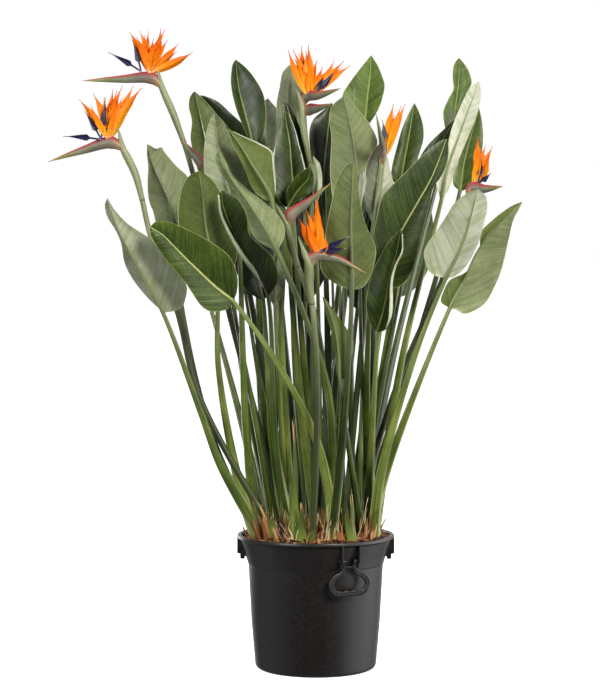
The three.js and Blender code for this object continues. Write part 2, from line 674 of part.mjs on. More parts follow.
// A dry or cut leaf base: a flat tapered strip that stands in its own hole
function makeHusk({ foot, top, wide, deep }) {
  const start = new THREE.Vector3(...foot, STALK_START);
  const path = new THREE.LineCurve3(start, seen(top));
  const taper = (t) => [wide * (1 - 0.45 * t), deep * (1 - 0.5 * t)];
  return fuse([stub(foot, HUSK_STUB_RADIUS), limb(path, new THREE.Vector3(1, 0.2, 0), taper, 3, 6)]);
}

function makeSoil() {
  const bed = turned([
    [0, FLOOR_THICK + CLEARANCE], [BASE_RADIUS - FOOT_ROUND - 2, FLOOR_THICK + CLEARANCE],
    ...wallLine(WALL + CLEARANCE, SOIL_TOP), [0, SOIL_TOP],
  ]);
  const holes = [
    ...Object.values(FANS).map(({ foot }) => stub(foot, FAN_STUB_RADIUS, CLEARANCE)),
    ...Object.values(BLOOMS).map(({ foot }) => stub(foot, SCAPE_STUB_RADIUS, CLEARANCE)),
    ...Object.values(HUSKS).map(({ foot }) => stub(foot, HUSK_STUB_RADIUS, CLEARANCE)),
  ];
  return bed.subtract(fuse(holes));
}

// The whole plant in its pot
const plant = new THREE.Group();

function place(name, shape, material) {
  const mesh = new THREE.Mesh(geometryOf(shape), material);
  mesh.name = name;
  plant.add(mesh);
}

place('pot', makePot(), POT_PLASTIC);
place('soil', makeSoil(), POTTING_BARK);
for (const [name, azimuth] of Object.entries(GRIP_AZIMUTHS)) place(`grip_${name}`, makeGrip(azimuth), GRIP_PLASTIC);
for (const [name, fan] of Object.entries(FANS)) place(`fan_${name}`, makeFan(fan), LEAF_GREEN);
for (const [name, bloom] of Object.entries(BLOOMS)) {
  place(`bloom_${name}_stalk`, makeStalk(bloom), SCAPE_GREEN);
  if (bloom.sepals) {
    const room = makeStalk(bloom, CLEARANCE);
    place(`bloom_${name}_petals`, largest(makeTongues(bloom).subtract(room)), PETAL_BLUE);
    const sepals = makeSepals(bloom).subtract(room).subtract(makeTongues(bloom, CLEARANCE));
    place(`bloom_${name}_sepals`, largest(sepals), SEPAL_ORANGE);
  }
}
for (const [name, husk] of Object.entries(HUSKS)) place(`husk_${name}`, makeHusk(husk), DRY_HUSK);

export default plant;
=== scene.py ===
# The looks of a bird of paradise plant in a black nursery pot with two swinging hand grips.
# Everything is modelled in millimetres, +Z up, and turned to metres when a piece is finished.
import math
import random

import bmesh
import bpy
from mathutils import Matrix, Vector, noise


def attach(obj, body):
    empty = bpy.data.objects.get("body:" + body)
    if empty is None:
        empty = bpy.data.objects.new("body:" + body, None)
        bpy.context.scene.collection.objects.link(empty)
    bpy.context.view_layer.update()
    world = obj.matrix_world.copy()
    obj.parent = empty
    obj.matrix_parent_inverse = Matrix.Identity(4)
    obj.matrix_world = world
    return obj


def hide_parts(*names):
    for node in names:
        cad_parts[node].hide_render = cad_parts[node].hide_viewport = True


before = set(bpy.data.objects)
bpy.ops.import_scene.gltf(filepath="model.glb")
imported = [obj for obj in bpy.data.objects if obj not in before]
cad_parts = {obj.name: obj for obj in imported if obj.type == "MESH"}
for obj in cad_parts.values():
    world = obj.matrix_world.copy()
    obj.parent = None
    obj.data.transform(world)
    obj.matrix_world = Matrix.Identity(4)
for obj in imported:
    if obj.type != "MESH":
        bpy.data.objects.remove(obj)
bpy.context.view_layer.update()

MM = 0.001
PLANT_BODY = "potted_plant"
UP = Vector((0, 0, 1))
TO_FRONT = Vector((0, -1, 0))

# Sizes of the pot
POT_HEIGHT = 309
RIM_RADIUS = 181
RIM_INNER = 172
BASE_RADIUS = 140
FOOT_ROUND = 14
WALL = 3
FLOOR_THICK = 4
TURN_STEPS = 144
SOIL_TOP = 303
CLEARANCE = 0.3
DRAIN_HOLES = 6
DRAIN_RADIUS = 7
DRAIN_CIRCLE = 105
OUTSIDE = [
    (BASE_RADIUS - FOOT_ROUND, 0), (BASE_RADIUS - 8, 0.8), (BASE_RADIUS - 4, 3), (BASE_RADIUS - 1, 7),
    (BASE_RADIUS, 12), (148.5, 112), (155.5, 242), (157.2, 244), (157.8, 247), (164, 270), (170.5, 290),
    (173, 298), (177, 301),
]

# Where the ears stand, in degrees from the front, and the hinge of a hand grip
GRIP_AZIMUTHS = {"front": 26, "back": 206}
BARE_EAR_AZIMUTHS = [96, 263]
PIVOT_RADIUS = 168.5
PIVOT_HEIGHT = 266
PIN_RADIUS = 2.6
PIN_PLAY = 0.5
GRIP_THICK = 7

# The middle line of one half of the grip's loop, across and up from the hinge, the widths of its legs and
# bars, and how far below the hinge the bridge closes its neck
GRIP_LINE = [
    (14, 3), (14, -17), (20, -26.5), (31, -31.5), (41, -39), (46, -50), (42.5, -61.5), (34, -69.5),
    (22, -72),
]
LEG = 7
LOW_BAR = 11.6
BRIDGE_BAR = 5
BRIDGE_DROP = 12.5

# The channel along a bar, as shares of its half width and thickness, and the bumps between the fingers
CHANNEL_WIDE = 0.55
CHANNEL_DEEP = 0.55
KNUCKLES = (-26, -9, 9, 26)
KNUCKLE_HALF = 7
KNUCKLE_HIGH = 3.6
LOOP_RINGS = 150
LOOP_SIDES = 40
BAR_RINGS = 8
KNUCKLE_RINGS = 12
PIN_SIDES = 24

# Sizes of an ear, with its heights above the floor and a lobe that hangs below it
EAR_THICK = 3
EAR_INNER = 20
EAR_OUTER_RADIUS = 180
EAR_BOTTOM = 263
EAR_LOBE_BOTTOM = 251
EAR_LOBE_OUT = 4.5
EAR_LOBE_IN = 6
EAR_TOP = 305

# Sizes of the leaves. A blade's waves turn by the angles WAVE_TURN and RIPPLE_TURN along its length, and a
# rolled rim lies at RIM_PLACE of the way from the rib to the edge.
BLADE_COLUMNS = 22
BLADE_ROWS = 52
BLADE_THICK = 0.9
CAMBER_FULL = 25
WAVE_TURN = 9
RIPPLE_TURN = 33
RIPPLE_SHARE = 0.25
RIM_PLACE = 0.985
RIM_RINGS = 36
RIM_SIDES = 8
NECK_HALF = 2.5
TIP_HALF = 0.5
STALK_FOOT = 12.5
STALK_TOP = 4.7
STALK_SPREAD = 11
STALK_RINGS = 56
STALK_SIDES = 14
ROOT_DEPTH = 22
SPEAR_RINGS = 40
SPEAR_SIDES = 12

# Sizes of the blooms. The bract wraps the flower stalk from BRACT_START of its length, and the petals
# start HEART_DROP and THROAT_DROP below the places where they are seen to leave the spathe.
SCAPE_FOOT = 8
SCAPE_TAPER = 2.2
SCAPE_RINGS = 60
SCAPE_SIDES = 14
SPATHE_DEEP = 16.5
SPATHE_RINGS = 36
SPATHE_SIDES = 24
HEART_DROP = 15
THROAT_DROP = 8
BRACT_START = 0.87
BRACT_RINGS = 30
PETAL_COLUMNS = 10
PETAL_ROWS = 28
PETAL_THICK = 1.5
PETAL_THIN = 0.6
PETAL_BOW = 3
SEPAL_WIDTH = 23
SEPAL_FOLD = 26
SEPAL_BEND = 6
SEPAL_STAGGER = 20
HEART_HALF = 3
TONGUE_WIDTH = 17
TONGUE_FOLD = 30
TONGUE_BEND = 1.5
TONGUE_FORWARD = 8

# Sizes of the bark and the old leaf bases
CHIPS = 900
CHIP_SPREAD = 165
CHIP_SIZES = (3.5, 11)
CHIP_ROUGH = 0.14
BARK_HEAP = 6
HEAP_SLOPE = 50
SOIL_RINGS = 26
SHEATH_COLUMNS = 20
SHEATH_ROWS = 16
SHEATH_TEETH = 21
SHEATH_THICK = 1.5
SHEATH_THIN = 0.4
SHEATH_BOW = 85
SCRAPS = 130
FIBRES = 90

# Places on the plant are measured as across and up from a mark beside the pot's axis, in the upright
# plane through that axis, as an eye at EYE_AWAY before the plane sees them, with the depth behind (+) or
# before (-) the plane.
MARK_X = -2.3
MARK_Z = 13.5
EYE_ACROSS = -34
EYE_AWAY = 4600
EYE_UP = 900

# The camera stands at that eye and aims at AIM_UP. Its focal length is given in pixels of the picture,
# whose long side has LONG_SIDE_PIXELS.
AIM_UP = 739.4
LONG_SIDE_PIXELS = 683
FOCAL_PIXELS = 2000
SENSOR = 36

def seen(point):
    """The point in space that is seen at an across and up, at its depth."""
    across, up, depth = point
    spread = 1 + depth / EYE_AWAY
    x = MARK_X + EYE_ACROSS + (across - EYE_ACROSS) * spread
    z = MARK_Z + EYE_UP + (up - EYE_UP) * spread
    return Vector((x, depth, z))

# Camera, floor and light
def make_camera():
    data = bpy.data.cameras.new("camera")
    data.sensor_width = SENSOR
    data.lens = FOCAL_PIXELS / LONG_SIDE_PIXELS * SENSOR
    camera = bpy.data.objects.new("camera", data)
    bpy.context.scene.collection.objects.link(camera)
    eye = Vector((MARK_X + EYE_ACROSS, -EYE_AWAY, MARK_Z + EYE_UP)) * MM
    aim = Vector((MARK_X + EYE_ACROSS, 0, MARK_Z + AIM_UP)) * MM
    camera.location = eye
    camera.rotation_euler = (aim - eye).to_track_quat("-Z", "Y").to_euler()
    bpy.context.scene.camera = camera

# The softboxes of the studio, in metres: place, aim, width and height, and their power and colour
LAMPS = {
    "key": ((2.0, -3.4, 3.0), (0, 0, 0.85), 1.2, 1.2, 210, "#fffaf0"),
    "fill": ((-2.8, -3.2, 2.2), (0, 0, 0.85), 1.4, 1.4, 120, "#ffffff"),
    "side": ((2.5, 0.3, 0.9), (0, 0, 0.4), 2.8, 1.6, 30, "#ffffff"),
    "edge": ((-1.5, 2.2, 0.6), (0, 0, 0.2), 0.5, 1.4, 18, "#ffffff"),
    "top": ((0.2, 0.8, 3.4), (0, 0, 0.9), 1.6, 1.6, 40, "#ffffff"),
}

# The floor of the studio, in metres, lies just below the object
FLOOR_RADIUS = 200
FLOOR_DROP = 0.0005

# The studio's pale sides, seen only in glossy surfaces, bright on the right and behind and dim on the
# left and below: the axis, where a side starts and is full, and how bright it is
PALE_SIDES = (
    ("X", 0.55, 1.0, 1.5), ("X", -0.6, -1.0, 0.45), ("Y", 0.7, 1.0, 1.1), ("Z", -0.2, -0.8, 0.3),
)

def softbox(name, place, aim, width, height, power, hex_colour):
    data = bpy.data.lights.new(name, "AREA")
    data.shape = "RECTANGLE"
    data.size = width
    data.size_y = height
    data.energy = power
    data.color = linear(hex_colour)[:3]
    lamp = bpy.data.objects.new(name, data)
    bpy.context.scene.collection.objects.link(lamp)
    lamp.location = place
    lamp.rotation_euler = (Vector(aim) - Vector(place)).to_track_quat("-Z", "Y").to_euler()

def linear(hex_colour):
    """An sRGB hex colour as linear red, green, blue and alpha."""
    shares = [int(hex_colour[i:i + 2], 16) / 255 for i in (1, 3, 5)]
    return [s / 12.92 if s <= 0.04045 else ((s + 0.055) / 1.055) ** 2.4 for s in shares] + [1.0]

# Kinds of shader node
MATH = "ShaderNodeMath"
MIX = "ShaderNodeMix"
RAMP = "ShaderNodeValToRGB"
RANGE = "ShaderNodeMapRange"
NOISE = "ShaderNodeTexNoise"
PARTS = "ShaderNodeSeparateXYZ"
WHOLE = "ShaderNodeCombineXYZ"
VECTOR_MATH = "ShaderNodeVectorMath"
PLACE = "ShaderNodeTexCoord"
MEASURE = "ShaderNodeAttribute"

def add(tree, kind, *values, named=None, stops=(), **settings):
    """Adds a node with its settings. The values go to its inputs in use, in their order: a node or a
    socket is linked, a number or a vector is set, and a hex colour is set as linear light."""
    node = tree.nodes.new(kind)
    for key, value in settings.items():
        setattr(node, key, value)
    pairs = list(zip([socket for socket in node.inputs if socket.enabled], values))
    pairs += [(node.inputs[key], value) for key, value in (named or {}).items()]
    for socket, value in pairs:
        if isinstance(value, bpy.types.Node):
            value = next(out for out in value.outputs if out.enabled)
        if isinstance(value, bpy.types.NodeSocket):
            tree.links.new(value, socket)
        else:
            socket.default_value = linear(value) if isinstance(value, str) else value
    for i, (place, hex_colour) in enumerate(stops):
        elements = node.color_ramp.elements
        element = elements[i] if i < len(elements) else elements.new(1.0)
        element.position = place
        element.color = linear(hex_colour)
    return node

def make_studio():
    world = bpy.data.worlds.new("studio")
    bpy.context.scene.world = world
    world.use_nodes = True
    tree = world.node_tree
    tree.nodes.clear()
    ray = add(tree, "ShaderNodeLightPath")
    way = add(tree, PLACE)
    lean = add(tree, VECTOR_MATH, way, Vector((0.45, -0.1, 0.88)), operation="DOT_PRODUCT")
    studio = add(tree, RANGE, lean.outputs["Value"], -0.4, 0.9, 0.0, 0.14, interpolation_type="SMOOTHSTEP")
    parts = add(tree, PARTS, way)
    walls = 0.0
    for side, start, end, bright in PALE_SIDES:
        wall = add(tree, RANGE, parts.outputs[side], start, end, 0.0, bright, interpolation_type="SMOOTHSTEP")
        walls = add(tree, MATH, wall, walls, operation="ADD")
    studio = add(tree, MATH, walls, ray.outputs["Is Glossy Ray"], studio, operation="MULTIPLY_ADD")
    strength = add(tree, MIX, ray.outputs["Is Camera Ray"], studio, 1.0)
    back = add(tree, "ShaderNodeBackground", "#ffffff", strength)
    add(tree, "ShaderNodeOutputWorld", back)
    bpy.context.scene.view_settings.view_transform = "Standard"

def make_floor():
    bm = bmesh.new()
    bmesh.ops.create_circle(bm, cap_ends=True, segments=96, radius=FLOOR_RADIUS)
    bmesh.ops.translate(bm, verts=bm.verts, vec=(0, 0, -FLOOR_DROP))
    mesh = bpy.data.meshes.new("floor")
    bm.to_mesh(mesh)
    bm.free()
    paper = bpy.data.materials.new("white_seamless_paper")
    paper.use_nodes = True
    shader = paper.node_tree.nodes["Principled BSDF"]
    shader.inputs["Base Color"].default_value = linear("#f4f4f4")
    shader.inputs["Roughness"].default_value = 0.9
    shader.inputs["Emission Color"].default_value = linear("#ffffff")
    shader.inputs["Emission Strength"].default_value = 1.0
    mesh.materials.append(paper)
    floor = bpy.data.objects.new("floor", mesh)
    floor.visible_diffuse = False
    floor.visible_glossy = False
    bpy.context.scene.collection.objects.link(floor)

# Meshes
class Path:
    """A smooth line through points, measured by its length."""

    def __init__(self, points, steps=16):
        first = points[0] * 2 - points[1]
        last = points[-1] * 2 - points[-2]
        full = [first, *points, last]
        self.line = [points[0].copy()]
        for a, b, c, d in zip(full, full[1:], full[2:], full[3:]):
            near, mid, far = [max((q - p).length, 1e-6) ** 0.5 for p, q in ((a, b), (b, c), (c, d))]
            start = ((b - a) / near - (c - a) / (near + mid) + (c - b) / mid) * mid
            end = ((c - b) / mid - (d - b) / (mid + far) + (d - c) / far) * mid
            for i in range(1, steps + 1):
                s = i / steps
                point = b * (2 * s**3 - 3 * s**2 + 1) + c * (3 * s**2 - 2 * s**3)
                point += start * (s**3 - 2 * s**2 + s) + end * (s**3 - s**2)
                self.line.append(point)
        self.reached = [0.0]
        for p, q in zip(self.line, self.line[1:]):
            self.reached.append(self.reached[-1] + (q - p).length)
        self.length = self.reached[-1]

    def at(self, share):
        """The point at a share of the length, and the direction there."""
        goal = min(max(share, 0), 1) * self.length
        i = 1
        while i < len(self.reached) - 1 and self.reached[i] < goal:
            i += 1
        span = self.reached[i] - self.reached[i - 1]
        point = self.line[i - 1].lerp(self.line[i], (goal - self.reached[i - 1]) / span)
        before, after = self.line[max(i - 2, 0)], self.line[min(i + 1, len(self.line) - 1)]
        return point, (after - before).normalized()

def new_bmesh():
    """A bmesh whose points carry three measures for the paint: body in millimetres, share from 0 to 1
    across and along, and tint. On a leaf the tint also holds its painted light and shade, and its silver,
    which is partly painted sheen."""
    bm = bmesh.new()
    for layer in ("body", "share", "tint"):
        bm.verts.layers.float_vector.new(layer)
    return bm

def measures(bm):
    return [bm.verts.layers.float_vector[layer] for layer in ("body", "share", "tint")]

def piece(name, bm, skins, nodes=(), body=PLANT_BODY, crease=180):
    """Turns a bmesh in millimetres into an object in metres that rides on its body. Edges sharper than
    crease, in degrees, are kept sharp."""
    bmesh.ops.scale(bm, vec=Vector((MM, MM, MM)), verts=bm.verts)
    for face in bm.faces:
        face.smooth = crease > 0
    for edge in bm.edges:
        if edge.calc_face_angle(0) > math.radians(crease):
            edge.smooth = False
    mesh = bpy.data.meshes.new(name)
    bm.to_mesh(mesh)
    bm.free()
    for skin in skins:
        mesh.materials.append(skin)
    made = bpy.data.objects.new(name, mesh)
    bpy.context.scene.collection.objects.link(made)
    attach(made, body)
    if nodes:
        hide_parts(*nodes)
    return made

def limb(bm, path, up, section, rings, sides, skin, mark=None, tint=(0, 0, 0)):
    """A closed tube along a path. section(t, angle) gives a point's place across and up in the ring."""
    for vert in bm.verts:
        vert.tag = True
    bmesh.ops.create_cone(bm, cap_ends=True, cap_tris=False, segments=sides, radius1=1, radius2=1, depth=1)
    rails = [e for e in bm.edges if not e.verts[0].tag and abs(e.verts[0].co.z - e.verts[1].co.z) > 0.5]
    bmesh.ops.subdivide_edges(bm, edges=rails, cuts=rings - 1)
    corners = [vert for vert in bm.verts if not vert.tag]
    body_layer, share_layer, tint_layer = measures(bm)
    frames = {}
    for vert in corners:
        t = round((vert.co.z + 0.5) * rings) / rings
        if t not in frames:
            point, along = path.at(t)
            out = (up - along * up.dot(along)).normalized()
            frames[t] = (point, out, out.cross(along))
        point, out, across = frames[t]
        angle = math.atan2(vert.co.y, vert.co.x)
        wide, high = section(t, angle)
        vert.co = point + across * wide + out * high
        vert[body_layer] = (wide, t * path.length, high)
        vert[share_layer] = (angle / math.tau + 0.5, t, math.sin(angle))
        vert[tint_layer] = tint
        if mark:
            mark(vert, t)
    for face in {f for v in corners for f in v.link_faces}:
        face.material_index = skin
    return corners

def ellipse(radii):
    """The section of a limb whose two radii are given at each place along it."""
    def section(t, angle):
        wide, deep = radii(t)
        return wide * math.cos(angle), deep * math.sin(angle)
    return section

def sheet_of(bm, columns, rows, place, thick, skins, even=False, tint=(0, 0, 0)):
    """A thin leaf-like sheet: a grid whose points go to place(v, t), v from -1 to 1 across and t from
    0 to 1 along, with its thickness behind. place also returns the body measure for the paint. tint is
    the same all over, or a function of v."""
    body_layer, share_layer, tint_layer = measures(bm)
    made = bmesh.ops.create_grid(bm, x_segments=columns, y_segments=rows, size=0.5)
    under = made["verts"]
    faces = {f for v in under for f in v.link_faces}
    at = {}
    for vert in under:
        v, t = vert.co.x * 2, vert.co.y + 0.5
        if not even:
            v *= 0.45 + 0.55 * abs(v)
        at[vert] = (v, t)
        vert.co, vert[body_layer] = place(v, t)
        vert[share_layer] = (v, t, 0)
        vert[tint_layer] = tint(v) if callable(tint) else tint
    for face in faces:
        face.normal_update()
    for vert in under:
        vert.normal_update()
    down = {vert: vert.normal * -thick(*at[vert]) for vert in under}
    grown = bmesh.ops.extrude_face_region(bm, geom=list(faces), use_keep_orig=True)
    upper_faces = {f for f in grown["geom"] if isinstance(f, bmesh.types.BMFace)}
    for vert, step in down.items():
        vert.co += step
    walls = {f for v in under for f in v.link_faces} - faces
    bmesh.ops.reverse_faces(bm, faces=list(faces))
    for group, skin in ((upper_faces, skins[0]), (faces, skins[1]), (walls, skins[2])):
        for face in group:
            face.material_index = skin
    for wall in walls:
        for edge in wall.edges:
            edge.smooth = False

# The leaves of each fan, with the fan's foot on the bark. A blade is drawn by three lines that were
# measured on the photograph, in across and up: the rib from neck to tip, and the left and the right edge
# between them, as seen when looking from the neck to the tip. depth is that of the neck and of the tip.
# side is the side that faces the eye. fold is how many degrees the left and the right half turn away
# from the eye. arch bends the rib away from the eye in its middle. rims are edges that are rolled and
# show as a pale cord of the given radius, in the underside's paint made lighter by painted light. A leaf
# that is hidden has only its rib and a width; those with light -0.9 are dark sheets in the shaded middle
# of the plant, dark by painted shade. via are points on the stalk, from the foot up. light is painted
# light and shade: it makes a leaf lighter where it is lit and darker where it lies in shade, the whole
# leaf or its left and right half. bloom makes it more silvery, the whole leaf or its left and right half:
# partly the wax bloom of the leaf and partly a painted sheen where it catches the light. ribbed is how
# pale the rib is.
LEAF = dict(
    side="under", depth=(0, 0), fold=(20, 20), arch=0, camber=3, wave=2.5, rims=(), light=0, bloom=0,
    girth=1, via=(), left=(), right=(), width=0, ribbed=0.4,
)

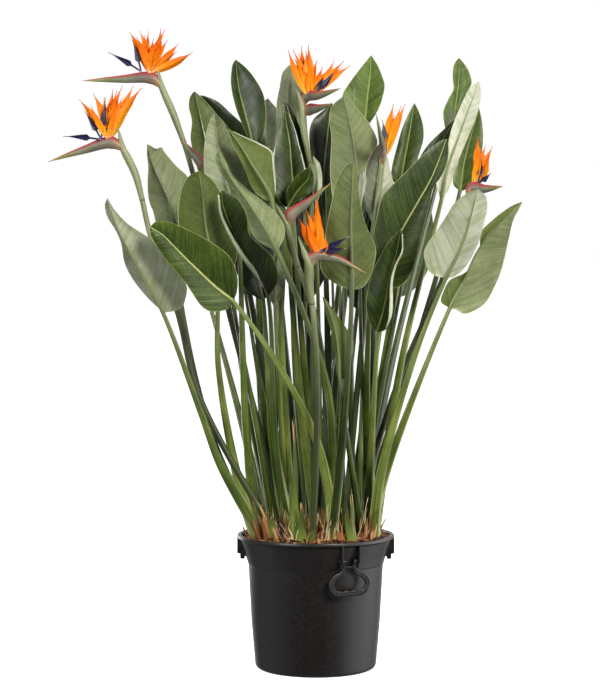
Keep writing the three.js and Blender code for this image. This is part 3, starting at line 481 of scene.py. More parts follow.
FANS = {
    "left_front": ((-118, -45), [
        dict(depth=(-200, -300), fold=(55, 14), light=0.35, bloom=0.55,
             rib=((-345, 805), (-362, 825), (-390, 880), (-412, 922), (-437, 960), (-450, 990), (-466, 1032),
                  (-476, 1068)),
             left=((-350, 808), (-375, 830), (-398, 855), (-420, 885), (-437, 920), (-445, 965), (-455, 990),
                   (-478, 1030), (-482, 1055)),
             right=((-325, 809), (-305, 818), (-298, 835), (-294, 865), (-312, 900), (-340, 940),
                    (-378, 976), (-400, 990), (-430, 1010), (-460, 1042), (-470, 1058)),
             via=((-215, 450, -95), (-260, 570, -125))),
        dict(depth=(-100, -150), fold=(15, 30), light=-0.2,
             rib=((-222, 885), (-240, 950), (-250, 1000), (-256, 1060), (-266, 1131)),
             left=((-262, 895), (-300, 950), (-314, 1010), (-313, 1055), (-304, 1095), (-288, 1120)),
             right=((-190, 905), (-178, 945), (-190, 990), (-205, 1045), (-218, 1085), (-238, 1113)),
             via=((-172, 400, -35), (-222, 680, -60))),
    ]),
    "left_middle": ((-126, 9), [
        dict(depth=(-10, -15), fold=(35, 10), light=0.1, bloom=0.2, wave=5,
             rib=((-322, 930), (-325, 1000), (-340, 1080), (-378, 1155), (-384, 1192)),
             left=((-352, 960), (-367, 1020), (-372, 1040), (-380, 1060), (-384, 1100), (-382, 1140),
                   (-385, 1170)),
             right=((-290, 960), (-280, 1040), (-285, 1100), (-292, 1118), (-320, 1145), (-345, 1175),
                    (-352, 1186), (-362, 1181), (-374, 1187)),
             via=((-212, 450, 0), (-272, 640, 0))),
        dict(depth=(-40, -45), fold=(10, 35), light=(0.1, -0.5), bloom=(0.4, 0.1),
             rib=((-178, 1010), (-200, 1090), (-220, 1170), (-226, 1220), (-230, 1262)),
             left=((-225, 1050), (-250, 1110), (-255, 1165), (-250, 1215), (-240, 1248)),
             right=((-140, 1040), (-137, 1095), (-158, 1135), (-182, 1180), (-200, 1225), (-216, 1252)),
             via=((-160, 570, -20),)),
    ]),
    "left_back": ((-100, 66), [
        dict(depth=(120, 150), fold=(20, 25), light=-0.2,
             rib=((-225, 1075), (-240, 1150), (-255, 1220), (-268, 1280), (-276, 1313)),
             left=((-260, 1110), (-276, 1160), (-285, 1205), (-282, 1245), (-289, 1280), (-285, 1302)),
             right=((-185, 1100), (-180, 1160), (-200, 1215), (-225, 1260), (-255, 1295)),
             via=((-160, 640, 90),)),
        dict(side="upper", depth=(95, 130), fold=(-50, -15), light=-0.4,
             rib=((-140, 1165), (-148, 1218), (-160, 1262), (-171, 1305), (-178, 1345), (-181, 1385)),
             left=((-155, 1212), (-166, 1237), (-183, 1283), (-192, 1330), (-191, 1358), (-188, 1375)),
             right=((-125, 1195), (-112, 1250), (-117, 1303), (-134, 1337), (-157, 1366)),
             via=((-120, 640, 75),)),
        dict(side="upper", depth=(45, 60), fold=(-30, -50), light=-0.2,
             rib=((-70, 1050), (-95, 1090), (-115, 1120), (-130, 1145)),
             left=((-110, 1060), (-128, 1090), (-132, 1120)),
             right=((-78, 1073), (-97, 1098), (-119, 1127)),
             via=((-92, 580, 95),)),
        dict(side="upper", depth=(260, 330), width=118, via=((-160, 520, 150),),
             rib=((-255, 870), (-285, 960), (-330, 1120))),
        dict(side="upper", depth=(150, 175), fold=(-20, -30), light=-0.6,
             rib=((-140, 1150), (-175, 1200), (-220, 1255), (-262, 1304)),
             left=((-185, 1165), (-215, 1215), (-245, 1270)),
             right=((-135, 1190), (-150, 1225), (-170, 1243), (-195, 1265), (-220, 1288), (-245, 1300)),
             via=((-125, 640, 90),)),
    ]),
    "centre_left": ((-58, -22), [
        dict(side="upper", depth=(-110, -150), fold=(-45, -30), light=-0.5, rims=(("left", 5.0),),
             rib=((-107, 845), (-140, 905), (-175, 965), (-200, 1020), (-212, 1060), (-213, 1087)),
             left=((-133, 893), (-165, 935), (-197, 990), (-216, 1035), (-224, 1068)),
             right=((-85, 880), (-95, 930), (-125, 960), (-150, 985), (-157, 1030), (-175, 1065),
                    (-198, 1082)),
             via=((-88, 480, -50),)),
        # A hidden leaf, darkened by painted shade, that fills the shaded middle of the plant.
        dict(side="upper", depth=(-40, 0), width=96, light=-0.9, via=((-94, 480, -30),),
             rib=((-118, 836), (-136, 920), (-160, 1035))),
        dict(depth=(-70, -70), girth=0.8, light=-0.3, bloom=0.5,
             rib=((-92, 820), (-90, 880), (-85, 960)),
             left=((-106, 845), (-111, 888), (-98, 930)),
             right=((-77, 845), (-68, 890), (-72, 925), (-78, 945)),
             via=((-75, 500, -35),)),
        dict(depth=(-50, -85), fold=(20, 10), rims=(("right", 2.4),),
             rib=((-95, 1060), (-112, 1095), (-135, 1130), (-165, 1180), (-198, 1226)),
             left=((-125, 1072), (-142, 1090), (-158, 1128), (-176, 1170), (-190, 1205)),
             right=((-90, 1090), (-94, 1130), (-96, 1165), (-105, 1183), (-130, 1194), (-165, 1210)),
             via=((-70, 600, -20),)),
    ]),
    "centre_front": ((35, -105), [
        dict(side="upper", depth=(-215, -300), fold=(-12, -20), light=(0, 0.25), ribbed=1,
             rib=((-187, 835), (-230, 868), (-280, 915), (-320, 955), (-350, 985), (-378, 1003)),
             left=((-200, 815), (-228, 808), (-245, 810), (-262, 822), (-280, 848), (-300, 878),
                   (-340, 925), (-365, 962), (-377, 985)),
             right=((-180, 850), (-177, 880), (-185, 915), (-200, 940), (-222, 957), (-262, 982),
                    (-300, 1000), (-335, 1014), (-365, 1015)),
             via=((8, 500, -140), (-100, 710, -190))),
        dict(depth=(-200, -250), fold=(35, 15), light=0.3, bloom=0.2,
             rib=((-88, 950), (-108, 990), (-145, 1045), (-185, 1105), (-215, 1150), (-218, 1178)),
             left=((-114, 960), (-143, 985), (-155, 1020), (-160, 1055), (-182, 1083), (-215, 1125),
                   (-229, 1160), (-222, 1176)),
             right=((-72, 975), (-69, 1001), (-82, 1026), (-110, 1054), (-153, 1087), (-190, 1122),
                    (-205, 1155)),
             via=((35, 600, -140), (-20, 790, -170))),
        dict(depth=(-190, -250), fold=(18, 22), arch=-8, light=-0.05, bloom=0.06,
             rib=((86, 858), (84, 950), (84, 1050), (88, 1149)),
             left=((60, 866), (38, 878), (18, 897), (12, 915), (17, 950), (25, 990), (32, 1030), (41, 1070),
                   (45, 1095), (60, 1128), (72, 1143)),
             right=((110, 864), (122, 878), (133, 905), (141, 945), (137, 965), (118, 1005), (107, 1045),
                    (102, 1080), (98, 1120), (95, 1143)),
             via=((65, 520, -130),)),
    ]),
    "centre": ((15, 25), [
        dict(side="upper", depth=(0, 15), fold=(-25, -35), light=-0.3, rims=(("right", 1.8),),
             rib=((-50, 1040), (-50, 1100), (-54, 1156), (-58, 1200), (-65, 1240), (-69, 1268)),
             left=((-80, 1060), (-95, 1110), (-93, 1170), (-87, 1215), (-78, 1250)),
             right=((-28, 1070), (-20, 1120), (-30, 1165), (-40, 1203), (-50, 1240), (-62, 1265)),
             via=((-20, 640, -8),)),
        dict(depth=(-50, -45), fold=(18, 22), light=-0.05, bloom=0.12,
             rib=((85, 1000), (94, 1100), (93, 1175), (84, 1220), (72, 1270), (66, 1302)),
             left=((50, 1040), (36, 1110), (36, 1160), (38, 1210), (33, 1255), (40, 1280)),
             right=((105, 1050), (115, 1125), (130, 1172), (144, 1193), (128, 1235), (103, 1266),
                    (82, 1289)),
             via=((45, 600, -5),)),
        dict(side="upper", depth=(50, 75), fold=(-20, -30), light=-0.7,
             rib=((20, 1090), (22, 1150), (30, 1220), (38, 1287)),
             left=((-2, 1130), (-11, 1180), (-12, 1225), (-3, 1250), (15, 1266), (28, 1278)),
             right=((50, 1130), (60, 1200), (55, 1260)),
             via=((30, 640, 50),)),
        dict(side="upper", depth=(-15, -52), fold=(-40, -40), light=-0.4,
             rib=((-62, 1050), (-40, 1085), (-15, 1115), (-9, 1140)),
             left=((-66, 1080), (-50, 1110), (-24, 1134)),
             right=((-38, 1062), (-8, 1085), (-2, 1115)),
             via=((-32, 600, -18),)),
        dict(side="upper", depth=(38, 42), fold=(-30, -30), light=-0.6, rims=(("left", 2.0),),
             rib=((-25, 1080), (-35, 1170), (-52, 1240), (-67, 1291)),
             left=((-50, 1120), (-62, 1200), (-76, 1270)),
             right=((-14, 1130), (-20, 1180), (-33, 1225), (-47, 1262), (-58, 1284)),
             via=((-2, 640, 30),)),
        dict(depth=(-20, -22), fold=(60, 55), light=0.6, bloom=0.8, girth=0.7,
             rib=((3, 1060), (6, 1110), (2, 1145), (-4, 1165)),
             left=((-3, 1100), (-5, 1140)),
             right=((16, 1090), (16, 1127), (10, 1150)),
             via=((10, 700, -14),)),
        # Two hidden leaves, darkened by painted shade, that fill the shaded middle of the plant.
        dict(side="upper", depth=(62, 72), width=112, light=-0.9, via=((-4, 600, 40),),
             rib=((-24, 828), (-20, 960), (-5, 1120))),
        dict(side="upper", depth=(72, 82), width=84, light=-0.9, via=((68, 560, 50),),
             rib=((98, 812), (112, 920), (126, 1050))),
    ]),
    "right_front": ((119, -44), [
        dict(depth=(-190, -250), fold=(14, 30), light=(0.4, 0.7), bloom=(0.6, 1.0),
             rib=((300, 885), (320, 922), (343, 973), (357, 1019), (366, 1060), (376, 1089)),
             left=((279, 890), (265, 899), (254, 922), (251, 945), (261, 968), (284, 1000), (302, 1028),
                   (320, 1056), (348, 1079)),
             right=((311, 885), (330, 895), (348, 913), (366, 945), (380, 977), (389, 1014), (396, 1046),
                    (392, 1074)),
             via=((150, 420, -85), (235, 720, -150))),
        dict(depth=(-110, -150), fold=(45, 14), light=(0.35, 0.6), bloom=(0, 0.25),
             rib=((311, 816), (330, 849), (348, 888), (362, 920), (378, 955), (398, 985), (427, 1012),
                  (476, 1060)),
             left=((290, 830), (297, 858), (311, 881), (348, 899), (366, 922), (378, 950), (382, 991),
                   (403, 1014), (435, 1040), (456, 1053)),
             right=((325, 813), (343, 803), (371, 812), (394, 830), (412, 862), (426, 895), (435, 927),
                    (445, 973), (456, 1019), (468, 1042)),
             via=((175, 470, -75),)),
        dict(depth=(-140, -170), fold=(60, 20), light=0.2, girth=0.8,
             rib=((57, 650), (55, 700), (50, 745), (42, 785), (30, 820), (18, 843)),
             left=((50, 665), (48, 690), (45, 720), (38, 760), (26, 802)),
             right=((70, 658), (78, 690), (87, 715), (88, 735), (83, 755), (62, 785), (46, 808), (30, 830)),
             via=((85, 450, -95),)),
    ]),
    "right_middle": ((128, 9), [
        dict(side="upper", depth=(-100, -80), fold=(-16, -24), light=-0.2, ribbed=0.7,
             rib=((130, 880), (162, 927), (201, 998), (238, 1062), (270, 1120), (302, 1204)),
             left=((125, 930), (136, 996), (146, 1042), (155, 1074), (182, 1103), (217, 1137), (246, 1166),
                   (275, 1191), (290, 1201)),
             right=((182, 862), (205, 873), (219, 890), (233, 935), (247, 990), (262, 1050), (274, 1097),
                    (288, 1115), (304, 1152), (307, 1185)),
             via=((120, 560, -45),)),
        dict(depth=(-20, 0), fold=(20, 40), light=0.9, bloom=1.0, wave=5,
             rib=((290, 1060), (296, 1110), (312, 1160), (330, 1210), (350, 1265), (376, 1334)),
             left=((286, 1074), (279, 1097), (281, 1115), (290, 1138), (304, 1166), (307, 1198), (316, 1235),
                   (330, 1267), (343, 1299), (362, 1327)),
             right=((295, 1067), (307, 1088), (320, 1125), (334, 1166), (353, 1212), (371, 1258),
                    (379, 1290), (380, 1318)),
             via=((205, 720, -10),)),
        dict(side="upper", depth=(-130, -160), fold=(-30, -60), light=-0.5, rims=(("right", 3.6),),
             rib=((143, 762), (153, 795), (162, 830), (168, 870), (176, 905), (188, 945), (198, 998)),
             left=((127, 785), (118, 820), (122, 860), (133, 900), (150, 935), (172, 972)),
             right=((162, 766), (174, 800), (176, 835), (176, 870), (182, 905), (197, 935), (204, 965)),
             via=((130, 500, -60),)),
        dict(depth=(-15, 0), fold=(25, 30), light=0.4, bloom=0.9,
             rib=((135, 1010), (140, 1080), (148, 1140), (150, 1195)),
             left=((116, 1050), (114, 1090), (119, 1140), (134, 1178)),
             right=((165, 1040), (180, 1095), (172, 1140), (162, 1175)),
             via=((135, 700, -15),)),
        dict(depth=(-58, -62), fold=(50, 60), light=0.5, bloom=0.9, girth=0.7,
             rib=((103, 1040), (108, 1090), (110, 1130)),
             left=((99, 1070), (101, 1115)),
             right=((110, 1068), (119, 1110), (116, 1124)),
             via=((108, 700, -52),)),
    ]),
    "right_back": ((88, 78), [
        dict(side="upper", depth=(110, 130), fold=(-45, -20), light=0.3,
             rib=((308, 1200), (318, 1250), (326, 1310), (330, 1350), (330, 1389)),
             left=((297, 1240), (295, 1268), (306, 1295), (318, 1318), (316, 1345), (319, 1374)),
             right=((318, 1240), (331, 1272), (348, 1309), (359, 1330), (355, 1353), (343, 1375)),
             via=((180, 700, 90),)),
        dict(side="upper", depth=(160, 190), fold=(-30, -20), light=0.2,
             rib=((335, 1085), (342, 1145), (358, 1210), (376, 1275)),
             left=((318, 1100), (322, 1145), (338, 1195), (356, 1240)),
             right=((352, 1092), (366, 1120), (380, 1160), (386, 1200), (384, 1240)),
             via=((200, 620, 130),)),
        dict(side="upper", depth=(40, 60), fold=(-20, -30), light=-0.6,
             rib=((215, 1040), (245, 1110), (280, 1180), (320, 1248)),
             left=((205, 1080), (225, 1130), (256, 1186), (300, 1230)),
             right=((245, 1060), (280, 1120), (305, 1180), (318, 1225)),
             via=((150, 640, 45),)),
        dict(side="upper", depth=(60, 80), fold=(-15, -35), light=0,
             rib=((195, 1090), (205, 1150), (216, 1210), (228, 1286)),
             left=((176, 1115), (177, 1140), (188, 1185), (199, 1225), (212, 1256)),
             right=((225, 1120), (238, 1165), (249, 1205), (248, 1235), (238, 1268)),
             via=((130, 640, 70),)),
        dict(side="upper", depth=(260, 330), width=120, via=((130, 520, 170),),
             rib=((190, 840), (215, 960), (250, 1090))),
    ]),
    "back": ((-20, 112), [
        dict(depth=(60, 90), fold=(25, 25), light=0, bloom=0.25,
             rib=((-55, 1190), (-60, 1250), (-62, 1310), (-57, 1374)),
             left=((-85, 1220), (-88, 1280), (-81, 1320), (-73, 1357)),
             right=((-30, 1230), (-22, 1290), (-33, 1330), (-48, 1362)),
             via=((-45, 700, 95),)),
        dict(depth=(170, 190), fold=(20, 25), light=0.5, bloom=0.6,
             rib=((-105, 1140), (-108, 1200), (-107, 1250), (-108, 1297)),
             left=((-128, 1180), (-134, 1225), (-135, 1258), (-127, 1280)),
             right=((-93, 1180), (-85, 1222), (-78, 1256), (-84, 1270), (-97, 1285)),
             via=((-60, 640, 130),)),
        dict(side="upper", depth=(110, 180), fold=(-25, -20), light=0.4,
             rib=((112, 1225), (117, 1262), (122, 1310), (127, 1355), (129, 1395)),
             left=((85, 1245), (63, 1280), (64, 1306), (80, 1333), (104, 1365)),
             right=((126, 1240), (143, 1267), (155, 1298), (160, 1328), (155, 1345), (145, 1370)),
             via=((50, 700, 120),)),
        dict(side="upper", depth=(280, 350), width=120, via=((-60, 520, 190),),
             rib=((-95, 880), (-110, 1000), (-130, 1120))),
        dict(side="upper", depth=(280, 360), width=118, via=((20, 540, 190),),
             rib=((60, 930), (68, 1060), (80, 1180))),
    ]),
}

# The blooms. scape are points on the flower stalk with their depth; the other points lie at the
# bloom's own depth: the spathe's line from neck to tip, the sheath's tip, and the sepals' and tongues'
# tips, which rise from the heart and from the throat in front of it. red is how red the sepals are.
BLOOMS = {
    "a": dict(
        foot=(-60, 25), depth=60,
        scape=((-170, 700, 45), (-281, 1130, 58), (-300, 1195, 60), (-330, 1275, 60)),
        spathe=((-352, 1326), (-374, 1343), (-440, 1341), (-533, 1337)),
        sheath=(-364, 1380), heart=(-380, 1370), throat=(-398, 1366),
        red=1.1,
        sepals=((-425, 1448), (-401, 1450), (-381, 1450), (-352, 1457), (-343, 1455), (-312, 1422),
                (-280, 1402)),
        tongues=((-418, 1430), (-473, 1402)),
    ),
    "b": dict(
        foot=(-75, -78), depth=-90,
        scape=((-265, 610, -85), (-315, 805, -90), (-378, 985, -90), (-400, 1080, -90), (-425, 1160, -90)),
        spathe=((-441, 1184), (-468, 1196), (-530, 1179), (-612, 1152)),
        sheath=(-453, 1236), heart=(-474, 1217), throat=(-490, 1211),
        red=0.9,
        sepals=((-541, 1295), (-508, 1308), (-463, 1318), (-453, 1315), (-441, 1326), (-415, 1326),
                (-396, 1322)),
        tongues=((-528, 1268), (-577, 1210), (-480, 1300)),
    ),
    "c": dict(
        foot=(-15, 65), depth=20,
        scape=((-15, 640, 30), (-10, 1130, 30), (-20, 1190, 24), (-25, 1220, 20)),
        spathe=((-30, 1280), (-22, 1300), (10, 1304, -40), (60, 1320, -100)),
        more=((-28, 1262), (-15, 1270, -5), (10, 1275, -50), (38, 1285, -100)),
        sheath=(-45, 1332), heart=(-12, 1314, -10), throat=(2, 1315, -24),
        red=0.6,
        sepals=((-62, 1408), (-50, 1408), (-31, 1418), (-14, 1420), (5, 1385), (45, 1385), (66, 1382),
                (82, 1372)),
        tongues=((20, 1350), (50, 1365)),
    ),
    "d": dict(
        foot=(-10, -125), depth=-240,
        scape=((4, 500, -172), (4, 700, -207), (-8, 850, -226), (-12, 880, -232)),
        spathe=((-12, 912), (0, 935), (50, 930), (117, 897)),
        sheath=(-38, 980), heart=(8, 951), throat=(12, 956),
        red=1.2,
        sepals=((-36, 1022), (-20, 1042), (1, 1065), (8, 1072), (25, 980)),
        tongues=((74, 954), (80, 982)),
    ),
    "e": dict(
        foot=(60, -30), depth=-60,
        scape=((105, 700, -45), (130, 960, -55), (143, 1060, -60), (150, 1100, -60)),
        spathe=((155, 1150), (156, 1180, -10), (150, 1215, -60), (140, 1265, -110)),
        heart=(164, 1184, -6), throat=(160, 1194, -4),
        red=0.0,
        sepals=((180, 1285), (198, 1280), (207, 1285)),
        tongues=((155, 1248),),
    ),
    "f": dict(
        foot=(75, 30), depth=-60,
        scape=((190, 640, 45), (300, 900, 15), (342, 1040, -45)),
        spathe=((352, 1078), (362, 1092), (390, 1090, -20), (432, 1096, -60)),
        heart=(366, 1112), throat=(374, 1110),
        red=0.4,
        sepals=((372, 1212), (392, 1190), (408, 1188), (400, 1160)),
        tongues=((383, 1165), (405, 1127)),
    ),
    "g": dict(
        foot=(0, -70), depth=-150,
        scape=((25, 600, -75), (0, 800, -95), (-45, 930, -130), (-60, 980, -150)),
        spathe=((-64, 1005), (-55, 1030), (-15, 1060), (35, 1102)),
        sheath=(-90, 1057),
    ),
    "h": dict(
        foot=(-45, 68), depth=45,
        scape=((-100, 580, 40), (-200, 1060, 45), (-238, 1125, 45)),
        spathe=((-250, 1138), (-262, 1152), (-282, 1174), (-305, 1203)),
    ),
}

# Dry and cut leaf bases that stand by themselves: foot, top, and half the width and depth at the foot
HUSKS = {
    "rust": dict(foot=(-108, -88), top=(-122, 392, -104), wide=12, deep=4),
    "cut": dict(foot=(-50, -112), top=(-50, 612, -125), wide=12, deep=7),
    "torn": dict(foot=(-24, -98), top=(-27, 385, -95), wide=10, deep=5),
    "tan": dict(foot=(64, -124), top=(52, 345, -128), wide=9, deep=3),
}

# More old leaf bases, seen round the foot of the plant: foot, top, and half the width and depth
LITTER = {
    "dry": [
        ((26, -112), (34, 338, -122), 12, 4), ((44, -106), (60, 330, -116), 11, 4),
        ((128, -62), (144, 350, -72), 11, 4), ((-144, -40), (-166, 322, -52), 10, 4),
        ((-82, -90), (-76, 380, -100), 9, 3), ((8, -112), (14, 372, -120), 8, 3),
        ((98, -84), (116, 336, -96), 11, 4), ((-120, 70), (-132, 350, 84), 10, 4),
        ((60, 118), (66, 346, 132), 11, 4), ((130, 66), (142, 330, 76), 10, 4),
        ((-60, 126), (-66, 336, 142), 10, 4), ((-140, 20), (-156, 332, 24), 9, 4),
        ((-98, -84), (-92, 350, -92), 10, 4), ((-8, -108), (-20, 345, -116), 11, 4),
        ((112, -70), (128, 372, -74), 8, 3), ((-128, -66), (-142, 345, -78), 12, 5),
    ],
    "green": [
        ((-98, -92), (-108, 392, -102), 12, 5), ((82, -118), (84, 408, -120), 14, 6),
        ((-140, -34), (-158, 345, -44), 10, 5), ((-34, -127), (-30, 384, -130), 18, 6),
        ((40, 120), (44, 366, 134), 12, 5), ((140, 20), (152, 360, 26), 11, 5),
        ((-66, -96), (-58, 352, -104), 11, 5), ((52, -102), (70, 356, -110), 10, 5),
    ],
}

# Rolled young leaves and old stalks cut short, which stand among the others: foot, points up the stalk,
# and the radius at the foot and at the end
SPEARS = [
    ((66, -62), ((62, 500, -72), (66, 700, -78), (65, 908, -84)), 10, 1.5),
    ((86, 12), ((84, 600, 20), (84, 1000, 28), (90, 1315, 36)), 10, 1.2),
    ((-2, -52), ((-6, 600, -70), (-13, 935, -108), (-37, 982, -112)), 8, 1.2),
    ((92, -34), ((104, 450, -40), (109, 623, -44)), 13, 4),
    ((-6, -88), ((-3, 380, -92), (1, 462, -96)), 17, 1.5),
    ((48, 44), ((52, 480, 46), (40, 900, 52)), 11, 3),
    ((22, 62), ((34, 480, 62), (72, 930, 64)), 11, 3),
    ((-72, 50), ((-104, 500, 44), (-168, 900, 40)), 11, 3),
    ((78, 60), ((104, 500, 62), (156, 900, 66)), 11, 3),
    ((-32, 30), ((-46, 480, 22), (-82, 900, 24)), 11, 3),
    ((60, 4), ((60, 480, 2), (58, 900, 4)), 12, 3),
    ((100, 34), ((128, 480, 30), (206, 900, 32)), 11, 3),
    ((-92, -8), ((-122, 480, -12), (-204, 900, -16)), 11, 3),
]

# Materials, with the width and length of their patterns in millimetres. The fine veins, fibres and petal
# lines of a real plant are about a millimetre or less, and are drawn as coarse as needed to show. The
# side veins leave the rib at VEIN_SLOPE and bend by VEIN_BEND, and HALF_APART keeps the two halves of a
# blade from being each other's mirror image.
VEIN = (2.7, 60.0)
VEIN_BAND = (11.0, 120.0)
VEIN_SLOPE = 0.7
VEIN_BEND = 0.004
HALF_APART = 7.3
STALK_FIBRE = (2.2, 150)
SCAPE_FIBRE = (2.2, 90)
SPATHE_FIBRE = (4, 45)
SEPAL_LINE = (1.4, 33)
DRY_FIBRE = (1.5, 40)
CUT_FIBRE = (2.2, 50)

def paint(name, build, roughness=None, **constants):
    """A material: build(tree) returns the nodes of its colour, its roughness and its height, and how deep
    the height goes in millimetres. Where the roughness has no node it is a constant."""
    made = bpy.data.materials.new(name)
    made.use_nodes = True
    tree = made.node_tree
    tree.nodes.clear()
    colour, rough, height, depth = build(tree)
    inputs = {"Base Color": colour, "Roughness": rough or roughness, **constants}
    inputs["Normal"] = add(tree, "ShaderNodeBump", named={"Height": height, "Distance": depth * MM})
    add(tree, "ShaderNodeOutputMaterial", add(tree, "ShaderNodeBsdfPrincipled", named=inputs))
    return made

def layered(tree, colour, *layers):
    """Lays each layer's colour over what is there, as far as its share says."""
    for share, over in layers:
        colour = add(tree, MIX, share, colour, over, data_type="RGBA")
    return colour

def measured(tree, name):
    """The three parts of a measure that the points carry: body, share or tint."""
    return add(tree, PARTS, add(tree, MEASURE, attribute_name=name).outputs["Vector"])

def grain(tree, scale_mm, detail=3.0, squeeze=(1, 1, 1)):
    """Cloudy noise in the object's own space, with features about scale_mm across, from 0 to 1."""
    place = add(tree, PLACE)
    moved = add(tree, VECTOR_MATH, place.outputs["Object"], Vector(squeeze), operation="MULTIPLY")
    return add(tree, NOISE, moved, 1 / (scale_mm * MM), detail)

def fibre_grain(tree, wide, long, detail=3.0):
    """Noise drawn out along a stalk, petal or husk: streaks wide across and long along, in millimetres."""
    body = add(tree, MEASURE, attribute_name="body")
    drawn = add(tree, VECTOR_MATH, body.outputs["Vector"], Vector((1 / wide, 1 / long, 1 / wide)),
                operation="MULTIPLY")
    return add(tree, NOISE, drawn, 1.0, detail)

def vein_grain(tree, wide, long):
    """Noise drawn out along the side veins of a blade: streaks that are wide across the veins and long
    along them, in millimetres. The veins leave the rib at a slope and bend towards the tip."""
    parts = measured(tree, "body")
    out = add(tree, MATH, parts.outputs["X"], operation="ABSOLUTE")
    climb = add(tree, MATH, out, -VEIN_SLOPE, parts.outputs["Y"], operation="MULTIPLY_ADD")
    square = add(tree, MATH, out, out, operation="MULTIPLY")
    curve = add(tree, MATH, square, -VEIN_BEND, climb, operation="MULTIPLY_ADD")
    half = add(tree, MATH, parts.outputs["X"], operation="SIGN")
    place = add(tree, WHOLE, add(tree, MATH, curve, wide, operation="DIVIDE"),
                add(tree, MATH, out, long, operation="DIVIDE"),
                add(tree, MATH, half, HALF_APART, operation="MULTIPLY"))
    return add(tree, NOISE, place, 1.0, 2.0)

def leaf_paint(tree, stops, lines, rib_colour, silver, edge_colour):
    """The green of a blade's side from its tint, which holds its painted light and shade, and from its
    veins, speckles, rib, silver and edge; the silver is partly wax bloom and partly painted sheen.
    """
    share = measured(tree, "share")
    body = measured(tree, "body")
    tint = measured(tree, "tint")
    broad = vein_grain(tree, *VEIN_BAND)
    veins = vein_grain(tree, *VEIN)
    # The leaf's light, which is painted light and shade, raises or lowers its green.
    level = add(tree, MATH, tint.outputs["X"], 0.4, 0.5 - 0.5 * (1.6 * lines + 0.7), operation="MULTIPLY_ADD")
    for pattern, weight in ((veins, lines), (broad, 0.6 * lines), (grain(tree, 70), 0.4),
                            (grain(tree, 6, detail=6.0), 0.3)):
        level = add(tree, MATH, pattern, weight, level, operation="MULTIPLY_ADD")
    green = add(tree, RAMP, level, stops=stops)
    patches = add(tree, MATH, grain(tree, 35, detail=5.0), broad, operation="ADD")
    # The silver, after the leaf's bloom: partly wax bloom and partly painted sheen where the leaf catches the
    # light, in patches along the veins.
    bloom = add(tree, MATH, tint.outputs["Y"], add(tree, RANGE, patches, 0.8, 1.2, 0.5, 1.0),
                operation="MULTIPLY")
    bloom = add(tree, MATH, bloom, add(tree, RANGE, veins, 0.3, 0.6, 0.7, 1.0), operation="MULTIPLY")
    out = add(tree, MATH, body.outputs["X"], operation="ABSOLUTE")
    rib_width = add(tree, MATH, share.outputs["Y"], -2.6, 3.6, operation="MULTIPLY_ADD")
    near_rib = add(tree, RANGE, add(tree, MATH, out, rib_width, operation="DIVIDE"), 0.5, 1.1, 0.85, 0.0)
    near_rib = add(tree, MATH, near_rib, tint.outputs["Z"], operation="MULTIPLY")
    to_edge = add(tree, MATH, share.outputs["X"], operation="ABSOLUTE")
    edge = add(tree, RANGE, to_edge, 0.965, 0.992, 0.0, 0.8)
    green = layered(tree, green, (bloom, silver), (near_rib, rib_colour), (edge, edge_colour))
    return green, add(tree, MATH, veins, 0.6, broad, operation="MULTIPLY_ADD")

def leaf_upper(tree):
    stops = ((0.1, "#10180a"), (0.35, "#26360c"), (0.55, "#42541d"), (0.75, "#5d7432"), (1.0, "#8a9c50"))
    green, height = leaf_paint(tree, stops, 0.6, "#c3ca86", "#8d9478", "#98a05e")
    return green, add(tree, RANGE, grain(tree, 25), 0.3, 0.7, 0.34, 0.5), height, 0.7

def leaf_under(tree):
    stops = ((0.1, "#2a3414"), (0.35, "#4a5724"), (0.6, "#66743a"), (0.8, "#84935a"), (1.0, "#a7b084"))
    green, height = leaf_paint(tree, stops, 0.32, "#8f9a55", "#d2d5c6", "#b6bb8c")
    return green, add(tree, RANGE, grain(tree, 25), 0.3, 0.7, 0.44, 0.6), height, 0.6

def stalk_green(tree):
    share = measured(tree, "share")
    body = measured(tree, "body")
    tint = measured(tree, "tint")
    streaks = fibre_grain(tree, *STALK_FIBRE)
    level = add(tree, MATH, grain(tree, 90), 0.6, tint.outputs["X"], operation="MULTIPLY_ADD")
    level = add(tree, MATH, streaks, 0.5, level, operation="MULTIPLY_ADD")
    green = add(tree, RAMP, level, stops=((0.25, "#131b07"), (0.48, "#2a3811"), (0.72, "#4c611f"),
                                          (1.0, "#8a974a")))
    foot = add(tree, RANGE, share.outputs["Y"], 0.0, 0.1, 0.5, 0.0)
    top = add(tree, RANGE, share.outputs["Y"], 0.45, 1.0, 0.0, 0.6)
    out = add(tree, MATH, body.outputs["X"], operation="ABSOLUTE")
    margin = add(tree, RANGE, out, 8.6, 10.5, 0.0, 0.8)
    green = layered(tree, green, (foot, "#a9b256"), (top, "#8f9970"), (margin, "#c2c88e"))
    return green, add(tree, RANGE, streaks, 0.3, 0.7, 0.2, 0.34), streaks, 0.3

def scape_green(tree):
    share = measured(tree, "share")
    streaks = fibre_grain(tree, *SCAPE_FIBRE)
    ragged = add(tree, MATH, grain(tree, 50), 0.2, share.outputs["Y"], operation="MULTIPLY_ADD")
    green = add(tree, RAMP, ragged, stops=(
        (0.1, "#7d8a3c"), (0.2, "#35431a"), (0.6, "#363a1e"), (0.8, "#57603c"), (0.95, "#8a9168")))
    dark = add(tree, RANGE, streaks, 0.4, 0.6, 0.35, 0.0)
    return layered(tree, green, (dark, "#3a4226")), None, streaks, 0.3

